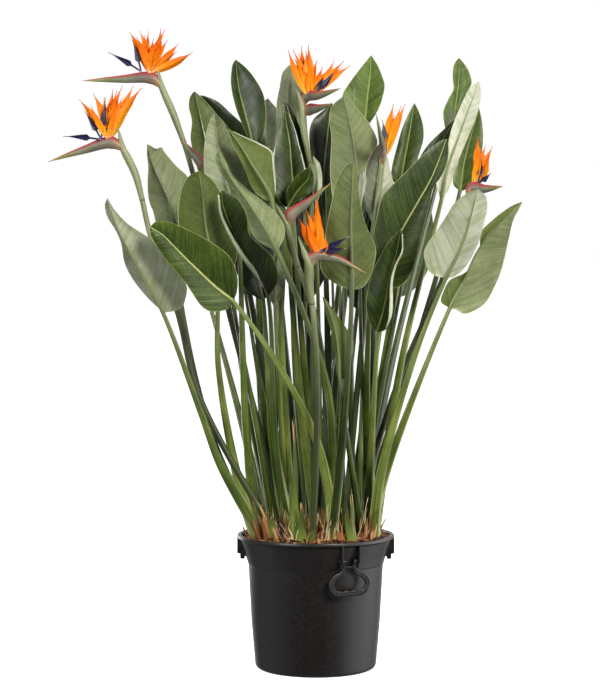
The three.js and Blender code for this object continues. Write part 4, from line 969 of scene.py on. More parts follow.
def spathe_skin(tree):
    share = measured(tree, "share")
    cloud = grain(tree, 22)
    streaks = fibre_grain(tree, *SPATHE_FIBRE)
    body = add(tree, RAMP, share.outputs["Y"], stops=(
        (0.0, "#b5803f"), (0.1, "#86685a"), (0.3, "#6a625c"), (0.6, "#6f7358"), (0.85, "#7f8a3e"),
        (1.0, "#c29a66")))
    pale = add(tree, RANGE, cloud, 0.4, 0.7, 0.0, 0.5)
    ragged = add(tree, MATH, streaks, 0.5, share.outputs["Z"], operation="MULTIPLY_ADD")
    edge = add(tree, RANGE, ragged, 0.45, 1.05, 0.0, 0.95)
    return layered(tree, body, (pale, "#8b9678"), (edge, "#a02a34")), None, streaks, 0.4

def sepal_skin(tree):
    share = measured(tree, "share")
    tint = measured(tree, "tint")
    lines = fibre_grain(tree, *SEPAL_LINE)
    orange = add(tree, RAMP, share.outputs["Y"], stops=(
        (0.0, "#f2d8b0"), (0.14, "#fac040"), (0.35, "#faa010"), (0.65, "#f88808"), (0.9, "#ea6a04"),
        (1.0, "#b85a1c")))
    deep = add(tree, MATH, tint.outputs["X"], add(tree, RANGE, lines, 0.35, 0.65, 0.2, 0.9),
               operation="MULTIPLY")
    return layered(tree, orange, (deep, "#dc4e02")), None, lines, 0.4

def tongue_skin(tree):
    share = measured(tree, "share")
    cloud = grain(tree, 9)
    blue = add(tree, RAMP, share.outputs["Y"], stops=(
        (0.0, "#7a6a8e"), (0.12, "#1f1a48"), (0.5, "#151134"), (0.86, "#110f26"), (0.92, "#8d8878")))
    light = add(tree, RANGE, cloud, 0.5, 0.75, 0.0, 0.5)
    return layered(tree, blue, (light, "#2a2470")), None, cloud, 0.3

def pot_plastic(tree):
    streaks = grain(tree, 30, squeeze=(1, 1, 0.12))
    scuffs = grain(tree, 6, detail=8.0)
    black = add(tree, RAMP, streaks, stops=((0.3, "#110f0e"), (0.7, "#1b1817")))
    worn = add(tree, RANGE, scuffs, 0.62, 0.78, 0.0, 0.25)
    black = layered(tree, black, (worn, "#383532"))
    return black, add(tree, RANGE, scuffs, 0.3, 0.7, 0.32, 0.46), scuffs, 0.05

def bark_brown(tree):
    chips = grain(tree, 14, detail=6.0)
    fine = grain(tree, 2.5, detail=8.0)
    brown = add(tree, RAMP, chips, stops=(
        (0.3, "#1f130d"), (0.45, "#4a2817"), (0.6, "#6b3b20"), (0.75, "#8a5a34")))
    dark = add(tree, RANGE, fine, 0.3, 0.7, 0.7, 0.0)
    return layered(tree, brown, (dark, "#2a1a12")), None, fine, 1.5

def chip_brown(tree):
    tint = measured(tree, "tint")
    fine = grain(tree, 2.0, detail=8.0)
    brown = add(tree, RAMP, tint.outputs["X"], stops=(
        (0.0, "#1c0f09"), (0.3, "#3f2212"), (0.6, "#66391f"), (0.85, "#8f5a34"), (1.0, "#c49a6c")))
    dark = add(tree, RANGE, fine, 0.3, 0.7, 0.5, 0.0)
    return layered(tree, brown, (dark, "#26140c")), None, fine, 0.8

def husk_dry(tree):
    tint = measured(tree, "tint")
    body = measured(tree, "body")
    fibres = fibre_grain(tree, *DRY_FIBRE, detail=6.0)
    level = add(tree, MATH, tint.outputs["X"], 0.25, fibres, operation="MULTIPLY_ADD")
    level = add(tree, MATH, add(tree, RANGE, body.outputs["Y"], 20, 90, -0.12, 0.16), level, operation="ADD")
    brown = add(tree, RAMP, level, stops=(
        (0.2, "#1c0c07"), (0.36, "#6a3418"), (0.5, "#aa6c38"), (0.64, "#d2aa74"), (0.82, "#efe2c2")))
    return brown, None, fibres, 0.8

def husk_green(tree):
    tint = measured(tree, "tint")
    body = measured(tree, "body")
    fibres = fibre_grain(tree, *CUT_FIBRE, detail=5.0)
    level = add(tree, MATH, fibres, 0.35, -0.17, operation="MULTIPLY_ADD")
    level = add(tree, MATH, body.outputs["Y"], 0.01, level, operation="MULTIPLY_ADD")
    level = add(tree, MATH, tint.outputs["X"], 0.06, level, operation="MULTIPLY_ADD")
    green = add(tree, RAMP, level, stops=(
        (0.0, "#c9c47c"), (0.12, "#86983a"), (0.45, "#4f6420"), (0.72, "#4c5a20"), (0.8, "#c29a5c"),
        (0.88, "#dcc59a")))
    dark = add(tree, RANGE, fibres, 0.35, 0.65, 0.45, 0.0)
    return layered(tree, green, (dark, "#38451a")), None, fibres, 0.4

# A living leaf has a waxy cuticle, which gives its upper side a satin sheen over deep green.
LEAF_UPPER = paint("leaf_blade_waxy_upper_side", leaf_upper, **{"Specular IOR Level": 0.35})
# Its underside carries a bloom of powdery wax, which makes it paler, greyer and duller; its silver is
# raised further by painted sheen where a leaf catches the light.
LEAF_UNDER = paint("leaf_blade_bloomed_underside", leaf_under, **{"Specular IOR Level": 0.3})
# A leaf stalk is smooth and firm, so it shines more than the blade, in long lines.
STALK_SKIN = paint("leaf_stalk_smooth_waxy", stalk_green, **{"Specular IOR Level": 0.5})
# A flower stalk has a thinner coat of wax and dark streaks, and pales towards the bloom.
SCAPE_SKIN = paint("flower_stalk_waxy", scape_green, 0.45)
# A spathe is stiff as leather: grey-violet sides, a crimson upper edge and a dry brown heel and tip.
SPATHE_SKIN = paint("spathe_leathery_waxy", spathe_skin, 0.42)
# A sepal is fleshy and matt, so its orange stays full, and it reddens in fine lines.
SEPAL_SKIN = paint("sepal_smooth_fleshy", sepal_skin, 0.5, **{"Specular IOR Level": 0.2})
# A blue petal is smooth as satin, with a pale foot and pale pollen near its tip.
TONGUE_SKIN = paint("blue_petal_satin", tongue_skin, 0.38)
# Injection-moulded polypropylene keeps a low satin gloss and picks up small scuffs.
POT_SKIN = paint("polypropylene_moulded_black", pot_plastic)
# Composted bark is damp and crumbly, so it is dark and has no gloss.
BARK_SKIN = paint("potting_bark_composted", bark_brown, 0.95)
# Each chip of pine bark is broken on its own and has its own brown.
CHIP_SKIN = paint("pine_bark_chips", chip_brown, 0.85)
# A dried leaf base has lost its wax and shows pale and rust-brown fibres.
DRY_SKIN = paint("leaf_base_dried_fibrous", husk_dry, 0.8)
# A cut leaf base is still green and waxy below its dry, tan edge.
CUT_SKIN = paint("leaf_base_green_cut", husk_green, 0.5)

def in_bark(x, y):
    """The foot of a stalk or a leaf base, which stands ROOT_DEPTH in the bark."""
    return Vector((x, y, SOIL_TOP - ROOT_DEPTH))

# Leaves
def hidden_edge(rib, width, side):
    """An edge of a blade of which only the rib and the width are known."""
    edge = []
    for t in (0.06, 0.2, 0.4, 0.6, 0.8, 0.93):
        point, way = rib.at(t)
        wide = width / 2 * math.sin(math.pi * t**0.8)**0.8
        edge.append(point + Vector((way.y, -way.x, 0)) * side * wide)
    return edge

class Blade:
    """A leaf blade hung between its rib and its two edges."""

    def __init__(self, row, rng):
        self.row = row
        self.upper = row["side"] == "upper"
        self.rib = Path([Vector((*point, 0)) for point in row["rib"]])
        self.phase = rng.uniform(0, math.tau)
        self.edges = []
        for side, drawn in ((-1, row["left"]), (1, row["right"])):
            points = [Vector((*point, 0)) for point in drawn] or hidden_edge(self.rib, row["width"], side)
            neck, way = self.rib.at(0)
            tip, last = self.rib.at(1)
            start = neck + Vector((way.y, -way.x, 0)) * side * NECK_HALF
            end = tip + Vector((last.y, -last.x, 0)) * side * TIP_HALF
            self.edges.append(Path([start, *points, end]))
        self.lines = {}

    def line(self, t):
        """The rib's place and direction, and the ways from it to both edges, at a share of the length."""
        if t not in self.lines:
            middle, way = self.rib.at(t)
            self.lines[t] = (middle, way, [edge.at(t)[0] - middle for edge in self.edges])
        return self.lines[t]

    def place(self, v, t):
        """The point at v across and t along, and its distance from the rib and along it."""
        row = self.row
        half = 0 if v < 0 else 1
        middle, way, reaches = self.line(t)
        reach = reaches[half]
        away = abs(v)
        wide = reach.length
        lean = math.tan(math.radians(row["fold"][half]))
        near, far = row["depth"]
        depth = near + (far - near) * t + row["arch"] * 4 * t * (1 - t) + wide * away * lean
        bulge = row["camber"] * math.sin(math.pi * away) * min(1, wide / CAMBER_FULL)
        depth += -bulge if self.upper else bulge
        ripple = row["wave"] * away**2 * math.sin(WAVE_TURN * t + self.phase + 2 * half)
        ripple += RIPPLE_SHARE * row["wave"] * away**4 * math.sin(RIPPLE_TURN * t + self.phase)
        depth += ripple * math.sin(math.pi * t)
        spot = middle + reach * away
        beside = abs(reach.x * way.y - reach.y * way.x) * away / math.cos(math.radians(row["fold"][half]))
        along = t * self.rib.length + reach.dot(way) * away
        return seen((spot.x, spot.y, depth)), (beside if half else -beside, along, 0)

    def rib_frame(self, t):
        """The rib's point in space and the way its upper side faces."""
        point = self.place(0, t)[0]
        across = (self.place(0.12, t)[0] - self.place(-0.12, t)[0]).normalized()
        along = (self.place(0, min(t + 0.03, 1))[0] - self.place(0, max(t - 0.03, 0))[0]).normalized()
        to_eye = across.cross(along).normalized()
        return point, to_eye if self.upper else -to_eye

def make_leaf(bm, foot, values, rng):
    """One leaf of a fan: its blade, its rolled rims and its stalk."""
    row = {**LEAF, **values}
    blade = Blade(row, rng)
    shift = rng.uniform(-0.1, 0.1)

    # A blade's tint: its light, which is painted light and shade, with a small random shift of tone; its
    # bloom, silver that is partly wax bloom and partly painted sheen; and how pale its rib is.
    def tint(v):
        half = 0 if v < 0 else 1
        pairs = [both if isinstance(both, tuple) else (both, both) for both in (row["light"], row["bloom"])]
        light, bloom = [pair[half] for pair in pairs]
        return light + shift, bloom, row["ribbed"]

    def thick(v, t):
        return BLADE_THICK * (1 - 0.45 * abs(v))

    skins = (0, 1, 1) if blade.upper else (1, 0, 1)
    sheet_of(bm, BLADE_COLUMNS, BLADE_ROWS, blade.place, thick, skins, tint=tint)
    for side, radius in row["rims"]:
        v = -RIM_PLACE if side == "left" else RIM_PLACE
        rolled = Path([blade.place(v, t)[0] for t in (0.08, 0.2, 0.35, 0.5, 0.65, 0.8, 0.95)])
        roll = ellipse(lambda t: [radius * min(1, 0.2 + 4 * t) * share for share in (1.4 - t, 0.8 - 0.5 * t)])
        # The cord shows the underside, painted lighter as if lit (light 0.9) and silvery (0.8), partly
        # painted sheen.
        limb(bm, rolled, TO_FRONT, roll, RIM_RINGS, RIM_SIDES, 1, tint=(0.9, 0.8, 0))
    make_leaf_stalk(bm, foot, row, blade, rng)

def make_leaf_stalk(bm, foot, row, blade, rng):
    """A stalk that thins from its foot to the neck, runs on as the rib behind the blade and is hollowed
    along the side that faces the blade's upper side."""
    low = in_bark(*foot)
    via = [seen(point) for point in row["via"]]
    top = row["girth"] * STALK_TOP
    under_rib = []
    for t in (0.05, 0.25, 0.5, 0.75, 0.94):
        point, face = blade.rib_frame(t)
        under_rib.append(point - face * (top * (0.8 * (1 - t)**1.1 + 0.1) + 0.2))
    path = Path([low, *via, *under_rib])
    neck_share = 1 - Path(under_rib).length / path.length
    share_layer = measures(bm)[1]

    def section(u, angle):
        if u < neck_share:
            down = 1 - u / neck_share
            radius = top + (row["girth"] * STALK_FOOT - top) * down**1.2
        else:
            down = 0
            radius = top * (0.85 * (1 - (u - neck_share) / (1 - neck_share))**1.1 + 0.12)
        wide = radius * math.cos(angle) * (1 + 0.2 * down**3)
        high = radius * 0.88 * math.sin(angle)
        if u < neck_share * 0.97 and math.sin(angle) > 0:
            high -= radius * 0.5 * math.sin(angle) * (1 - abs(math.cos(angle)))
        return wide, high

    def mark(vert, u):
        vert[share_layer].y = u / neck_share * 0.85 if u < neck_share else 0.9 + 0.1 * u

    face = blade.rib_frame(0.1)[1]
    limb(bm, path, face, section, STALK_RINGS, STALK_SIDES, 2, mark, tint=(rng.uniform(-0.2, 0.35), 0, 0))

def make_spears():
    """Rolled young leaves and cut stalks, straight from the bark."""
    rng = random.Random(3)
    bm = new_bmesh()
    for foot, points, wide, narrow in SPEARS:
        path = Path([in_bark(*foot), *[seen(point) for point in points]])
        taper = ellipse(lambda t: [narrow + (wide - narrow) * (1 - t)**1.2 * share for share in (1, 0.8)])
        limb(bm, path, TO_FRONT, taper, SPEAR_RINGS, SPEAR_SIDES, 0, tint=(rng.uniform(-0.15, 0.2), 0, 0))
    piece("spears", bm, [STALK_SKIN])

def make_fans():
    for name, (foot, leaves) in FANS.items():
        rng = random.Random(name)
        bm = new_bmesh()
        for i, row in enumerate(leaves):
            turn = i / len(leaves) * math.tau
            start = (foot[0] + STALK_SPREAD * math.cos(turn), foot[1] + STALK_SPREAD * math.sin(turn))
            make_leaf(bm, start, row, rng)
        piece(f"leaves_{name}", bm, [LEAF_UPPER, LEAF_UNDER, STALK_SKIN], [f"fan_{name}"])

# Blooms
def placed(point, depth):
    """A point of a bloom at the bloom's depth, and further back by the point's third value."""
    across, up, *off = point
    return seen((across, up, depth + (off[0] if off else 0)))

def boat(t, angle):
    """The section of a spathe: a keeled boat with a sharp upper edge, tapering to its tip."""
    deep = max(0.8, SPATHE_DEEP * (1 - t)**0.85 * min(1, 0.42 + 4 * t))
    high = math.sin(angle)
    keel = 1 - 0.3 * max(-high, 0)**2 - 0.75 * max(high, 0)**2
    return deep * 0.62 * math.cos(angle) * keel, deep * high

def make_stalk(name, bloom):
    """A flower stalk with its spathe, or two spathes, and the bract round its neck."""
    bm = new_bmesh()
    share_layer = measures(bm)[1]
    depth = bloom["depth"]
    low = in_bark(*bloom["foot"])
    neck = placed(bloom["spathe"][0], depth)
    scape = Path([low, *[seen(p) for p in bloom["scape"]], neck])
    round_stalk = ellipse(lambda t: (SCAPE_FOOT - SCAPE_TAPER * t, SCAPE_FOOT - SCAPE_TAPER * t))
    limb(bm, scape, TO_FRONT, round_stalk, SCAPE_RINGS, SCAPE_SIDES, 0)

    def mark(vert, t):
        vert[share_layer].y = BRACT_START + (1 - BRACT_START) * t

    for line in (bloom["spathe"], bloom.get("more")):
        if line:
            limb(bm, Path([placed(p, depth) for p in line]), UP, boat, SPATHE_RINGS, SPATHE_SIDES, 1)
    if "sheath" in bloom:
        tip = placed(bloom["sheath"], depth)
        wrapped = [scape.at(share)[0] for share in (BRACT_START, (1 + BRACT_START) / 2)]
        bract = Path([*wrapped, neck, neck.lerp(tip, 0.5), tip])
        limb(bm, bract, TO_FRONT, ellipse(bract_radii), BRACT_RINGS, SCAPE_SIDES, 0, mark)
    piece(f"flower_stalk_{name}", bm, [SCAPE_SKIN, SPATHE_SKIN], [f"bloom_{name}_stalk"])

def bract_radii(t):
    """Half the width and depth of the leafy bract that wraps the neck of a bloom and ends in a point."""
    wide = 6 + 2.4 * math.sin(math.pi * min(1, t / 0.9))**2
    return wide * min(1, 4 * (1 - t)) + 0.4, (6.4 + math.sin(math.pi * t)) * min(1, 3 * (1 - t)) + 0.4

def make_petal(bm, start, tip, facing, width, fold, bend, shape, redness):
    """A fleshy petal from start to tip, folded along its middle by fold degrees like a boat, and bent to
    one side."""
    fold = math.radians(fold)
    along = (tip - start).normalized()
    face = (facing - along * facing.dot(along)).normalized()
    across = along.cross(face)
    length = (tip - start).length

    def place(v, t):
        reach = abs(v) * width / 2 * shape(t)
        side = math.copysign(reach, v)
        point = start.lerp(tip, t) + across * (side * math.cos(fold) + bend * 4 * t * (1 - t))
        point += face * (reach * math.sin(fold) + PETAL_BOW * math.sin(math.pi * t))
        return point, (side, t * length, 0)

    def thick(v, t):
        return PETAL_THICK - (PETAL_THICK - PETAL_THIN) * abs(v)

    sheet_of(bm, PETAL_COLUMNS, PETAL_ROWS, place, thick, (0, 0, 0), even=True, tint=(redness, 0, 0))

def sepal_shape(t):
    """Half of a sepal's outline: a narrow foot, widest before the middle, and a long point."""
    return max(math.sin(math.pi * t**0.8)**0.75 * min(1, 3 * (1 - t)), 0.22 if t < 0.5 else 0.03)

def tongue_shape(t):
    """Half of a tongue's outline: a narrow shaft, an arrow's barbs, the blade and a thread."""
    if t < 0.3:
        return 0.26
    if t < 0.37:
        return 0.26 + 0.74 * (t - 0.3) / 0.07
    return max(1 - (t - 0.37) / 0.52, 0.09)

def make_blooms():
    """Each bloom's stalk, and its sepals in two ranks: as measured, and shorter ones in between."""
    for name, bloom in BLOOMS.items():
        make_stalk(name, bloom)
        if "sepals" not in bloom:
            continue
        rng = random.Random(name)
        depth = bloom["depth"]
        heart = placed(bloom["heart"], depth)
        bm = new_bmesh()
        tips = [placed((*tip, (i % 3 - 1) * SEPAL_STAGGER), depth) for i, tip in enumerate(bloom["sepals"])]
        inner = [near.lerp(far, 0.5).lerp(heart, rng.uniform(0.12, 0.3)) for near, far in zip(tips, tips[1:])]
        for i, tip in enumerate(tips + inner):
            facing = Vector((0.35 if i % 2 else -0.35, -1 if i % 3 else 1, 0.1))
            spread = [rng.uniform(-HEART_HALF, HEART_HALF) for _ in range(2)]
            start = heart + Vector((*spread, -HEART_DROP))
            away = Vector((0, 0 if i < len(tips) else rng.uniform(-18, 10), 0))
            wide = SEPAL_WIDTH * rng.uniform(0.7, 1)
            bend = rng.uniform(-SEPAL_BEND, SEPAL_BEND)
            redness = bloom["red"] * rng.uniform(0.25, 1)
            make_petal(bm, start, tip + away, facing, wide, SEPAL_FOLD, bend, sepal_shape, redness)
        piece(f"sepals_{name}", bm, [SEPAL_SKIN], [f"bloom_{name}_sepals"])
        bm = new_bmesh()
        before = depth - TONGUE_FORWARD
        throat = placed(bloom["throat"], before) - UP * THROAT_DROP
        for tip in bloom["tongues"]:
            make_petal(bm, throat, placed(tip, before), TO_FRONT, TONGUE_WIDTH, TONGUE_FOLD, TONGUE_BEND,
                       tongue_shape, 0)
        piece(f"blue_petals_{name}", bm, [TONGUE_SKIN], [f"bloom_{name}_petals"])

# Soil, bark chips and dry leaf bases
def wall_radius(z):
    """The pot's outer radius at a height."""
    for (r0, z0), (r1, z1) in zip(OUTSIDE, OUTSIDE[1:]):
        if z0 <= z <= z1:
            return r0 + (r1 - r0) * (z - z0) / (z1 - z0)
    return OUTSIDE[-1][0]

def turned(bm, profile, steps=TURN_STEPS):
    """Spins a profile of radius and height once round the pot's axis into a closed skin."""
    verts = [bm.verts.new((r, 0, z)) for r, z in profile]
    edges = [bm.edges.new(pair) for pair in zip(verts, verts[1:])]
    bmesh.ops.spin(bm, geom=verts + edges, cent=(0, 0, 0), axis=(0, 0, 1), dvec=(0, 0, 0),
                   angle=math.tau, steps=steps, use_merge=True, use_duplicate=False)
    bmesh.ops.remove_doubles(bm, verts=bm.verts, dist=0.01)
    bmesh.ops.recalc_face_normals(bm, faces=bm.faces)

def make_soil():
    """The bed of bark that fills the pot, heaped a little towards the middle."""
    bm = new_bmesh()
    inset = WALL + CLEARANCE
    side = [(r - inset, z) for r, z in OUTSIDE[4:] if z < SOIL_TOP - 6]
    edge = min(wall_radius(SOIL_TOP - 4) - inset, RIM_INNER - 2)
    top = [(edge * (1 - i / SOIL_RINGS), SOIL_TOP - 2) for i in range(SOIL_RINGS + 1)]
    floor = FLOOR_THICK + CLEARANCE
    turned(bm, [(0, floor), (BASE_RADIUS - FOOT_ROUND - 2, floor), *side, *top])
    for vert in bm.verts:
        if vert.co.z > SOIL_TOP - 3:
            lump = noise.noise(vert.co * 0.03) * 3 + noise.noise(vert.co * 0.11) * 2.4
            heap = BARK_HEAP * min(1, (edge - vert.co.xy.length) / HEAP_SLOPE)
            vert.co.z += max(min(lump, 3.5), -4) + heap
    piece("bark_bed", bm, [BARK_SKIN], ["soil"])

def make_chips():
    """Loose chips, each a small broken lump laid nearly flat on the bed."""
    rng = random.Random(5)
    bm = new_bmesh()
    tint_layer = measures(bm)[2]
    for _ in range(CHIPS):
        angle = rng.uniform(0, math.tau)
        radius = CHIP_SPREAD * math.sqrt(rng.uniform(0.1, 1))
        size = rng.uniform(*CHIP_SIZES)
        heap = BARK_HEAP * min(1, (RIM_INNER - radius) / HEAP_SLOPE)
        place = Vector((radius * math.cos(angle), radius * math.sin(angle)))
        place = place.to_3d() + UP * (SOIL_TOP + heap + rng.uniform(-2, 4))
        turn = Matrix.Rotation(rng.uniform(0, math.tau), 4, "Z")
        tilt = Matrix.Rotation(rng.uniform(-0.5, 0.5), 4, "X")
        tilt = tilt @ Matrix.Rotation(rng.uniform(-0.5, 0.5), 4, "Y")
        scale = Matrix.Diagonal((size, size * rng.uniform(0.35, 0.7), size * rng.uniform(0.15, 0.35), 1))
        made = bmesh.ops.create_icosphere(
            bm, subdivisions=1, radius=1, matrix=Matrix.Translation(place) @ turn @ tilt @ scale)
        tint = rng.random()
        for vert in made["verts"]:
            push = Vector((rng.uniform(-1, 1), rng.uniform(-1, 1), rng.uniform(-0.6, 0.6)))
            vert.co += push * size * CHIP_ROUGH
            vert[tint_layer] = (tint, 0, 0)
    piece("bark_chips", bm, [CHIP_SKIN], crease=0)

def make_sheath(bm, foot, top, wide, deep, rng, tone):
    """A dry or cut leaf base: a strip curved round a stalk, with a torn and frayed top."""
    along = (top - foot).normalized()
    outward = Vector((foot.x, foot.y - 40, 0)).normalized()
    across = along.cross(outward).normalized()
    face = across.cross(along)
    length = (top - foot).length
    fangs = [(rng.uniform(-0.9, 0.9), rng.uniform(0.1, 0.3)) for _ in range(3)]
    teeth = [rng.uniform(0, 0.16) for _ in range(SHEATH_TEETH)]
    curl = rng.uniform(-0.04, 0.2) * length
    sway = rng.uniform(-0.1, 0.1) * length

    def reach(v):
        """How far up a strip of the sheath goes: to the top in a fang, and lower where it is torn off."""
        fang = max(max(0, 1 - abs(v - middle) / half) for middle, half in fangs)
        return 0.6 + 0.4 * fang - teeth[round((v + 1) * (SHEATH_TEETH - 1) / 2)]

    def place(v, t):
        up = t * (1 + (reach(v) - 1) * t)
        half = wide * (1 - 0.35 * up) * (1 + 0.12 * math.sin(17 * up + 5 * v))
        bow = math.radians(SHEATH_BOW) * v
        point = foot.lerp(top, up) + across * (half * math.sin(bow) + sway * up**2)
        point += face * (deep * 2 * (math.cos(bow) - 0.6) + curl * up**3)
        return point, (half * v, up * 100, 0)

    def thick(v, t):
        return SHEATH_THICK - (SHEATH_THICK - SHEATH_THIN) * t

    sheet_of(bm, SHEATH_COLUMNS, SHEATH_ROWS, place, thick, (0, 0, 0), even=True, tint=(tone, 0, 0))

def make_litter():
    """Scraps of old leaf bases and loose fibres, low among the feet of the plant."""
    rng = random.Random(11)
    bm = new_bmesh()
    for i in range(SCRAPS + FIBRES):
        angle = rng.uniform(0, math.tau) if i % 2 else rng.uniform(-2.9, -0.2)
        radius = rng.uniform(70, 138) if i % 2 else rng.uniform(112, 130)
        foot = in_bark(radius * math.cos(angle), radius * math.sin(angle))
        high = ROOT_DEPTH + rng.uniform(12, 46) * rng.uniform(1, 2)
        lean = Vector((rng.uniform(-0.35, 0.35) + 0.2 * math.cos(angle), 0.2 * math.sin(angle), 1))
        tone = rng.uniform(-1.3, 0.8)
        if i < SCRAPS:
            make_sheath(bm, foot, foot + lean * high, rng.uniform(4, 10), 3, rng, tone)
        else:
            bend = Vector((rng.uniform(-14, 14), rng.uniform(-14, 14), 0))
            fibre = Path([foot, foot + lean * high * 0.5 + bend, foot + lean * high * 1.2])
            thread = ellipse(lambda t: (0.9 - 0.5 * t, 0.9 - 0.5 * t))
            limb(bm, fibre, TO_FRONT, thread, 7, 5, 0, tint=(tone + 0.3, 0, 0))
    piece("husk_scraps", bm, [DRY_SKIN])

def make_husks():
    """The old leaf bases that the solids have, and then the many small ones among them."""
    for name, husk in HUSKS.items():
        bm = new_bmesh()
        make_sheath(bm, in_bark(*husk["foot"]), seen(husk["top"]), husk["wide"], husk["deep"],
                    random.Random(name), 0)
        skin = CUT_SKIN if name in ("cut", "torn") else DRY_SKIN
        piece(f"leaf_base_{name}", bm, [skin], [f"husk_{name}"])
    for name, skin in (("dry", DRY_SKIN), ("green", CUT_SKIN)):
        rng = random.Random(name)
        bm = new_bmesh()
        for foot, top, wide, deep in LITTER[name]:
            make_sheath(bm, in_bark(*foot), seen(top), wide, deep, rng, rng.uniform(-1.1, 0.6))
        piece(f"stubs_{name}", bm, [skin])

# Pot and grips
def plate(bm, outlines, thick, to_place):
    """A flat plate between outlines, the first its rim and the others holes, drawn in x and z."""
    for vert in bm.verts:
        vert.tag = True
    edges = []
    for outline in outlines:
        verts = [bm.verts.new((x, 0, z)) for x, z in outline]
        edges += [bm.edges.new(pair) for pair in zip(verts, verts[1:] + verts[:1])]
    filled = bmesh.ops.triangle_fill(bm, use_beauty=True, use_dissolve=False, edges=edges)
    faces = [f for f in filled["geom"] if isinstance(f, bmesh.types.BMFace)]
    grown = bmesh.ops.extrude_face_region(bm, geom=faces, use_keep_orig=True)
    for vert in [v for v in grown["geom"] if isinstance(v, bmesh.types.BMVert)]:
        vert.co.y += thick
    new = [v for v in bm.verts if not v.tag]
    bmesh.ops.recalc_face_normals(bm, faces=list({f for v in new for f in v.link_faces}))
    for vert in new:
        vert.co = to_place(vert.co)
    return new

def circle(x, z, radius, steps=24):
    turns = [i / steps * math.tau for i in range(steps)]
    return [(x + radius * math.cos(turn), z + radius * math.sin(turn)) for turn in turns]

def make_ear(bm, azimuth, side, pierced):
    """A plate that stands out from the wall, with a lobe that hangs below the place of a grip's pin."""
    lobe = PIVOT_RADIUS + EAR_LOBE_OUT
    inner = PIVOT_RADIUS - EAR_LOBE_IN
    outline = [
        (wall_radius(EAR_BOTTOM) - WALL / 2, EAR_BOTTOM), (inner, EAR_BOTTOM), (inner, EAR_LOBE_BOTTOM + 2),
        (inner + 2, EAR_LOBE_BOTTOM), (lobe - 3, EAR_LOBE_BOTTOM),
        (lobe - 1, EAR_LOBE_BOTTOM + 1), (lobe, EAR_LOBE_BOTTOM + 3), (lobe, EAR_BOTTOM - 1),
        (lobe + 1, EAR_BOTTOM), (EAR_OUTER_RADIUS - 1, EAR_BOTTOM), (EAR_OUTER_RADIUS, EAR_BOTTOM + 1),
        (EAR_OUTER_RADIUS, EAR_TOP), (wall_radius(EAR_TOP - 10) - WALL / 2, EAR_TOP - 10),
    ]
    holes = [circle(PIVOT_RADIUS, PIVOT_HEIGHT, PIN_RADIUS + PIN_PLAY)] if pierced else []
    turn = Matrix.Rotation(math.radians(azimuth), 3, "Z")
    start = EAR_INNER if side > 0 else -EAR_INNER - EAR_THICK

    def to_place(point):
        return turn @ Vector((start + point.y, -point.x, point.z))

    plate(bm, [outline, *holes], EAR_THICK, to_place)

def make_pot():
    """The pot's wall and rolled rim, turned in one, its floor with the drain holes, and its ears."""
    bm = new_bmesh()
    inside = [(r - WALL, z) for r, z in OUTSIDE[4:] if z < SOIL_TOP - 4]
    lip = [(RIM_RADIUS + out, POT_HEIGHT - down) for out, down in (
        (-0.8, 7.4), (0, 6.4), (0, 2.4), (-0.8, 0.6), (-2.4, 0))]
    lip += [(RIM_INNER + out, POT_HEIGHT - down) for out, down in ((1.4, 0), (0, 0.7), (-1.2, 3))]
    ring = [*OUTSIDE, *lip, *reversed(inside), (BASE_RADIUS - 2 * WALL, 2 * FLOOR_THICK),
            (BASE_RADIUS - FOOT_ROUND, FLOOR_THICK)]
    turned(bm, [*ring, ring[0]])
    drains = []
    for i in range(DRAIN_HOLES):
        turn = (i + 0.5) * math.tau / DRAIN_HOLES
        drains.append(circle(DRAIN_CIRCLE * math.cos(turn), DRAIN_CIRCLE * math.sin(turn), DRAIN_RADIUS))
    floor_rim = circle(0, 0, BASE_RADIUS - FOOT_ROUND, TURN_STEPS)
    plate(bm, [floor_rim, *drains], FLOOR_THICK, lambda point: Vector((point.x, point.z, point.y)))
    for azimuth in [*GRIP_AZIMUTHS.values(), *BARE_EAR_AZIMUTHS]:
        for side in (-1, 1):
            make_ear(bm, azimuth, side, azimuth in GRIP_AZIMUTHS.values())
    piece("pot_shell", bm, [POT_SKIN], ["pot"], crease=35)

def channel(wide, thick):
    """The section of a moulded bar: two ribs along its edges with a channel between, on both faces."""
    def section(t, angle):
        x, y = math.cos(angle), math.sin(angle)
        square = (abs(x)**5 + abs(y)**5)**(-1 / 5)
        x, y = x * square, y * square
        hollow = CHANNEL_DEEP if abs(x) < CHANNEL_WIDE else 0
        return x * wide / 2, y * thick / 2 * (1 - hollow)
    return section

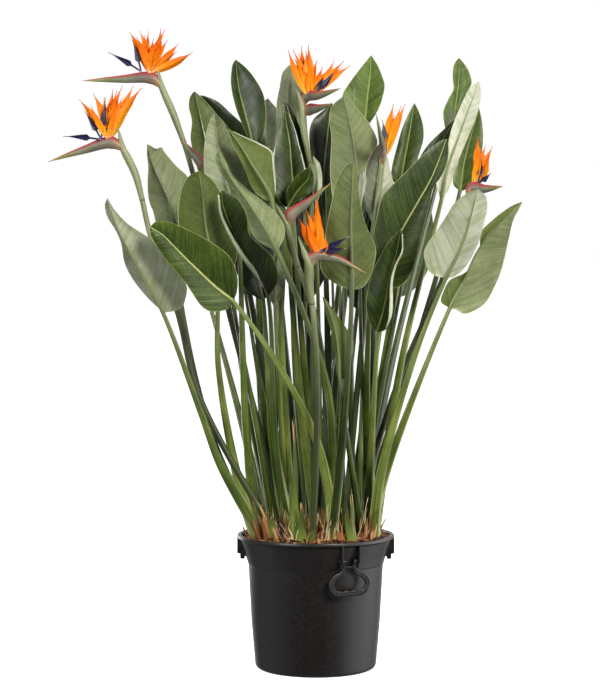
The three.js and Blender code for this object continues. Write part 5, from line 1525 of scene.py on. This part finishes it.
def make_grip(name, azimuth):
    """A loop for four fingers below a narrow neck, whose two legs end in pins that snap into the ears."""
    bm = new_bmesh()
    hinge = Vector((0, -PIVOT_RADIUS, PIVOT_HEIGHT))
    neck = GRIP_LINE[0][0]
    low = GRIP_LINE[-1][1]
    loop = [*GRIP_LINE, (0, low), *[(-x, z) for x, z in reversed(GRIP_LINE)]]
    path = Path([hinge + Vector((x, 0, z)) for x, z in loop])

    def section(t, angle):
        grown = min(max((0.5 - abs(t - 0.5)) * 6, 0), 1)
        return channel(LEG + (LOW_BAR - LEG) * grown, GRIP_THICK)(t, angle)

    limb(bm, path, TO_FRONT, section, LOOP_RINGS, LOOP_SIDES, 0)
    bar = Path([hinge + Vector((x, 0, -BRIDGE_DROP)) for x in (-neck, 0, neck)])
    limb(bm, bar, TO_FRONT, channel(BRIDGE_BAR, GRIP_THICK - 1), BAR_RINGS, PIN_SIDES, 0)
    for x in KNUCKLES:
        knuckle = Path([hinge + Vector((x + side * KNUCKLE_HALF, 0, low + 5)) for side in (-1, 0, 1)])
        swell = ellipse(lambda t: (KNUCKLE_HIGH * math.sin(math.pi * (0.04 + 0.92 * t)), 3.1))
        limb(bm, knuckle, TO_FRONT, swell, KNUCKLE_RINGS, STALK_SIDES, 0)
    reach = EAR_INNER + EAR_THICK
    # The knob on a leg, its pin, and the pin's head outside the ear, each with its radius, start and end
    turned_parts = ((LEG * 0.72, neck - 4, neck + 3.4), (PIN_RADIUS, neck, reach + 1.5),
                    (PIN_RADIUS + 1.6, reach + 0.5, reach + 3))
    for side in (-1, 1):
        for radius, start, end in turned_parts:
            pin = Path([hinge + Vector((side * start, 0, 0)), hinge + Vector((side * end, 0, 0))])
            limb(bm, pin, UP, ellipse(lambda t: (radius, radius)), 2, PIN_SIDES, 0)
    turn = Matrix.Rotation(math.radians(azimuth), 3, "Z")
    bmesh.ops.rotate(bm, verts=bm.verts, cent=(0, 0, 0), matrix=turn)
    piece(f"hand_grip_{name}", bm, [POT_SKIN], [f"grip_{name}"], f"{name}_grip", crease=40)

make_camera()
make_studio()
make_floor()
for name, lamp in LAMPS.items():
    softbox(name, *lamp)
make_fans()
make_spears()
make_blooms()
make_soil()
make_chips()
make_husks()
make_litter()
make_pot()
for grip, azimuth in GRIP_AZIMUTHS.items():
    make_grip(grip, azimuth)
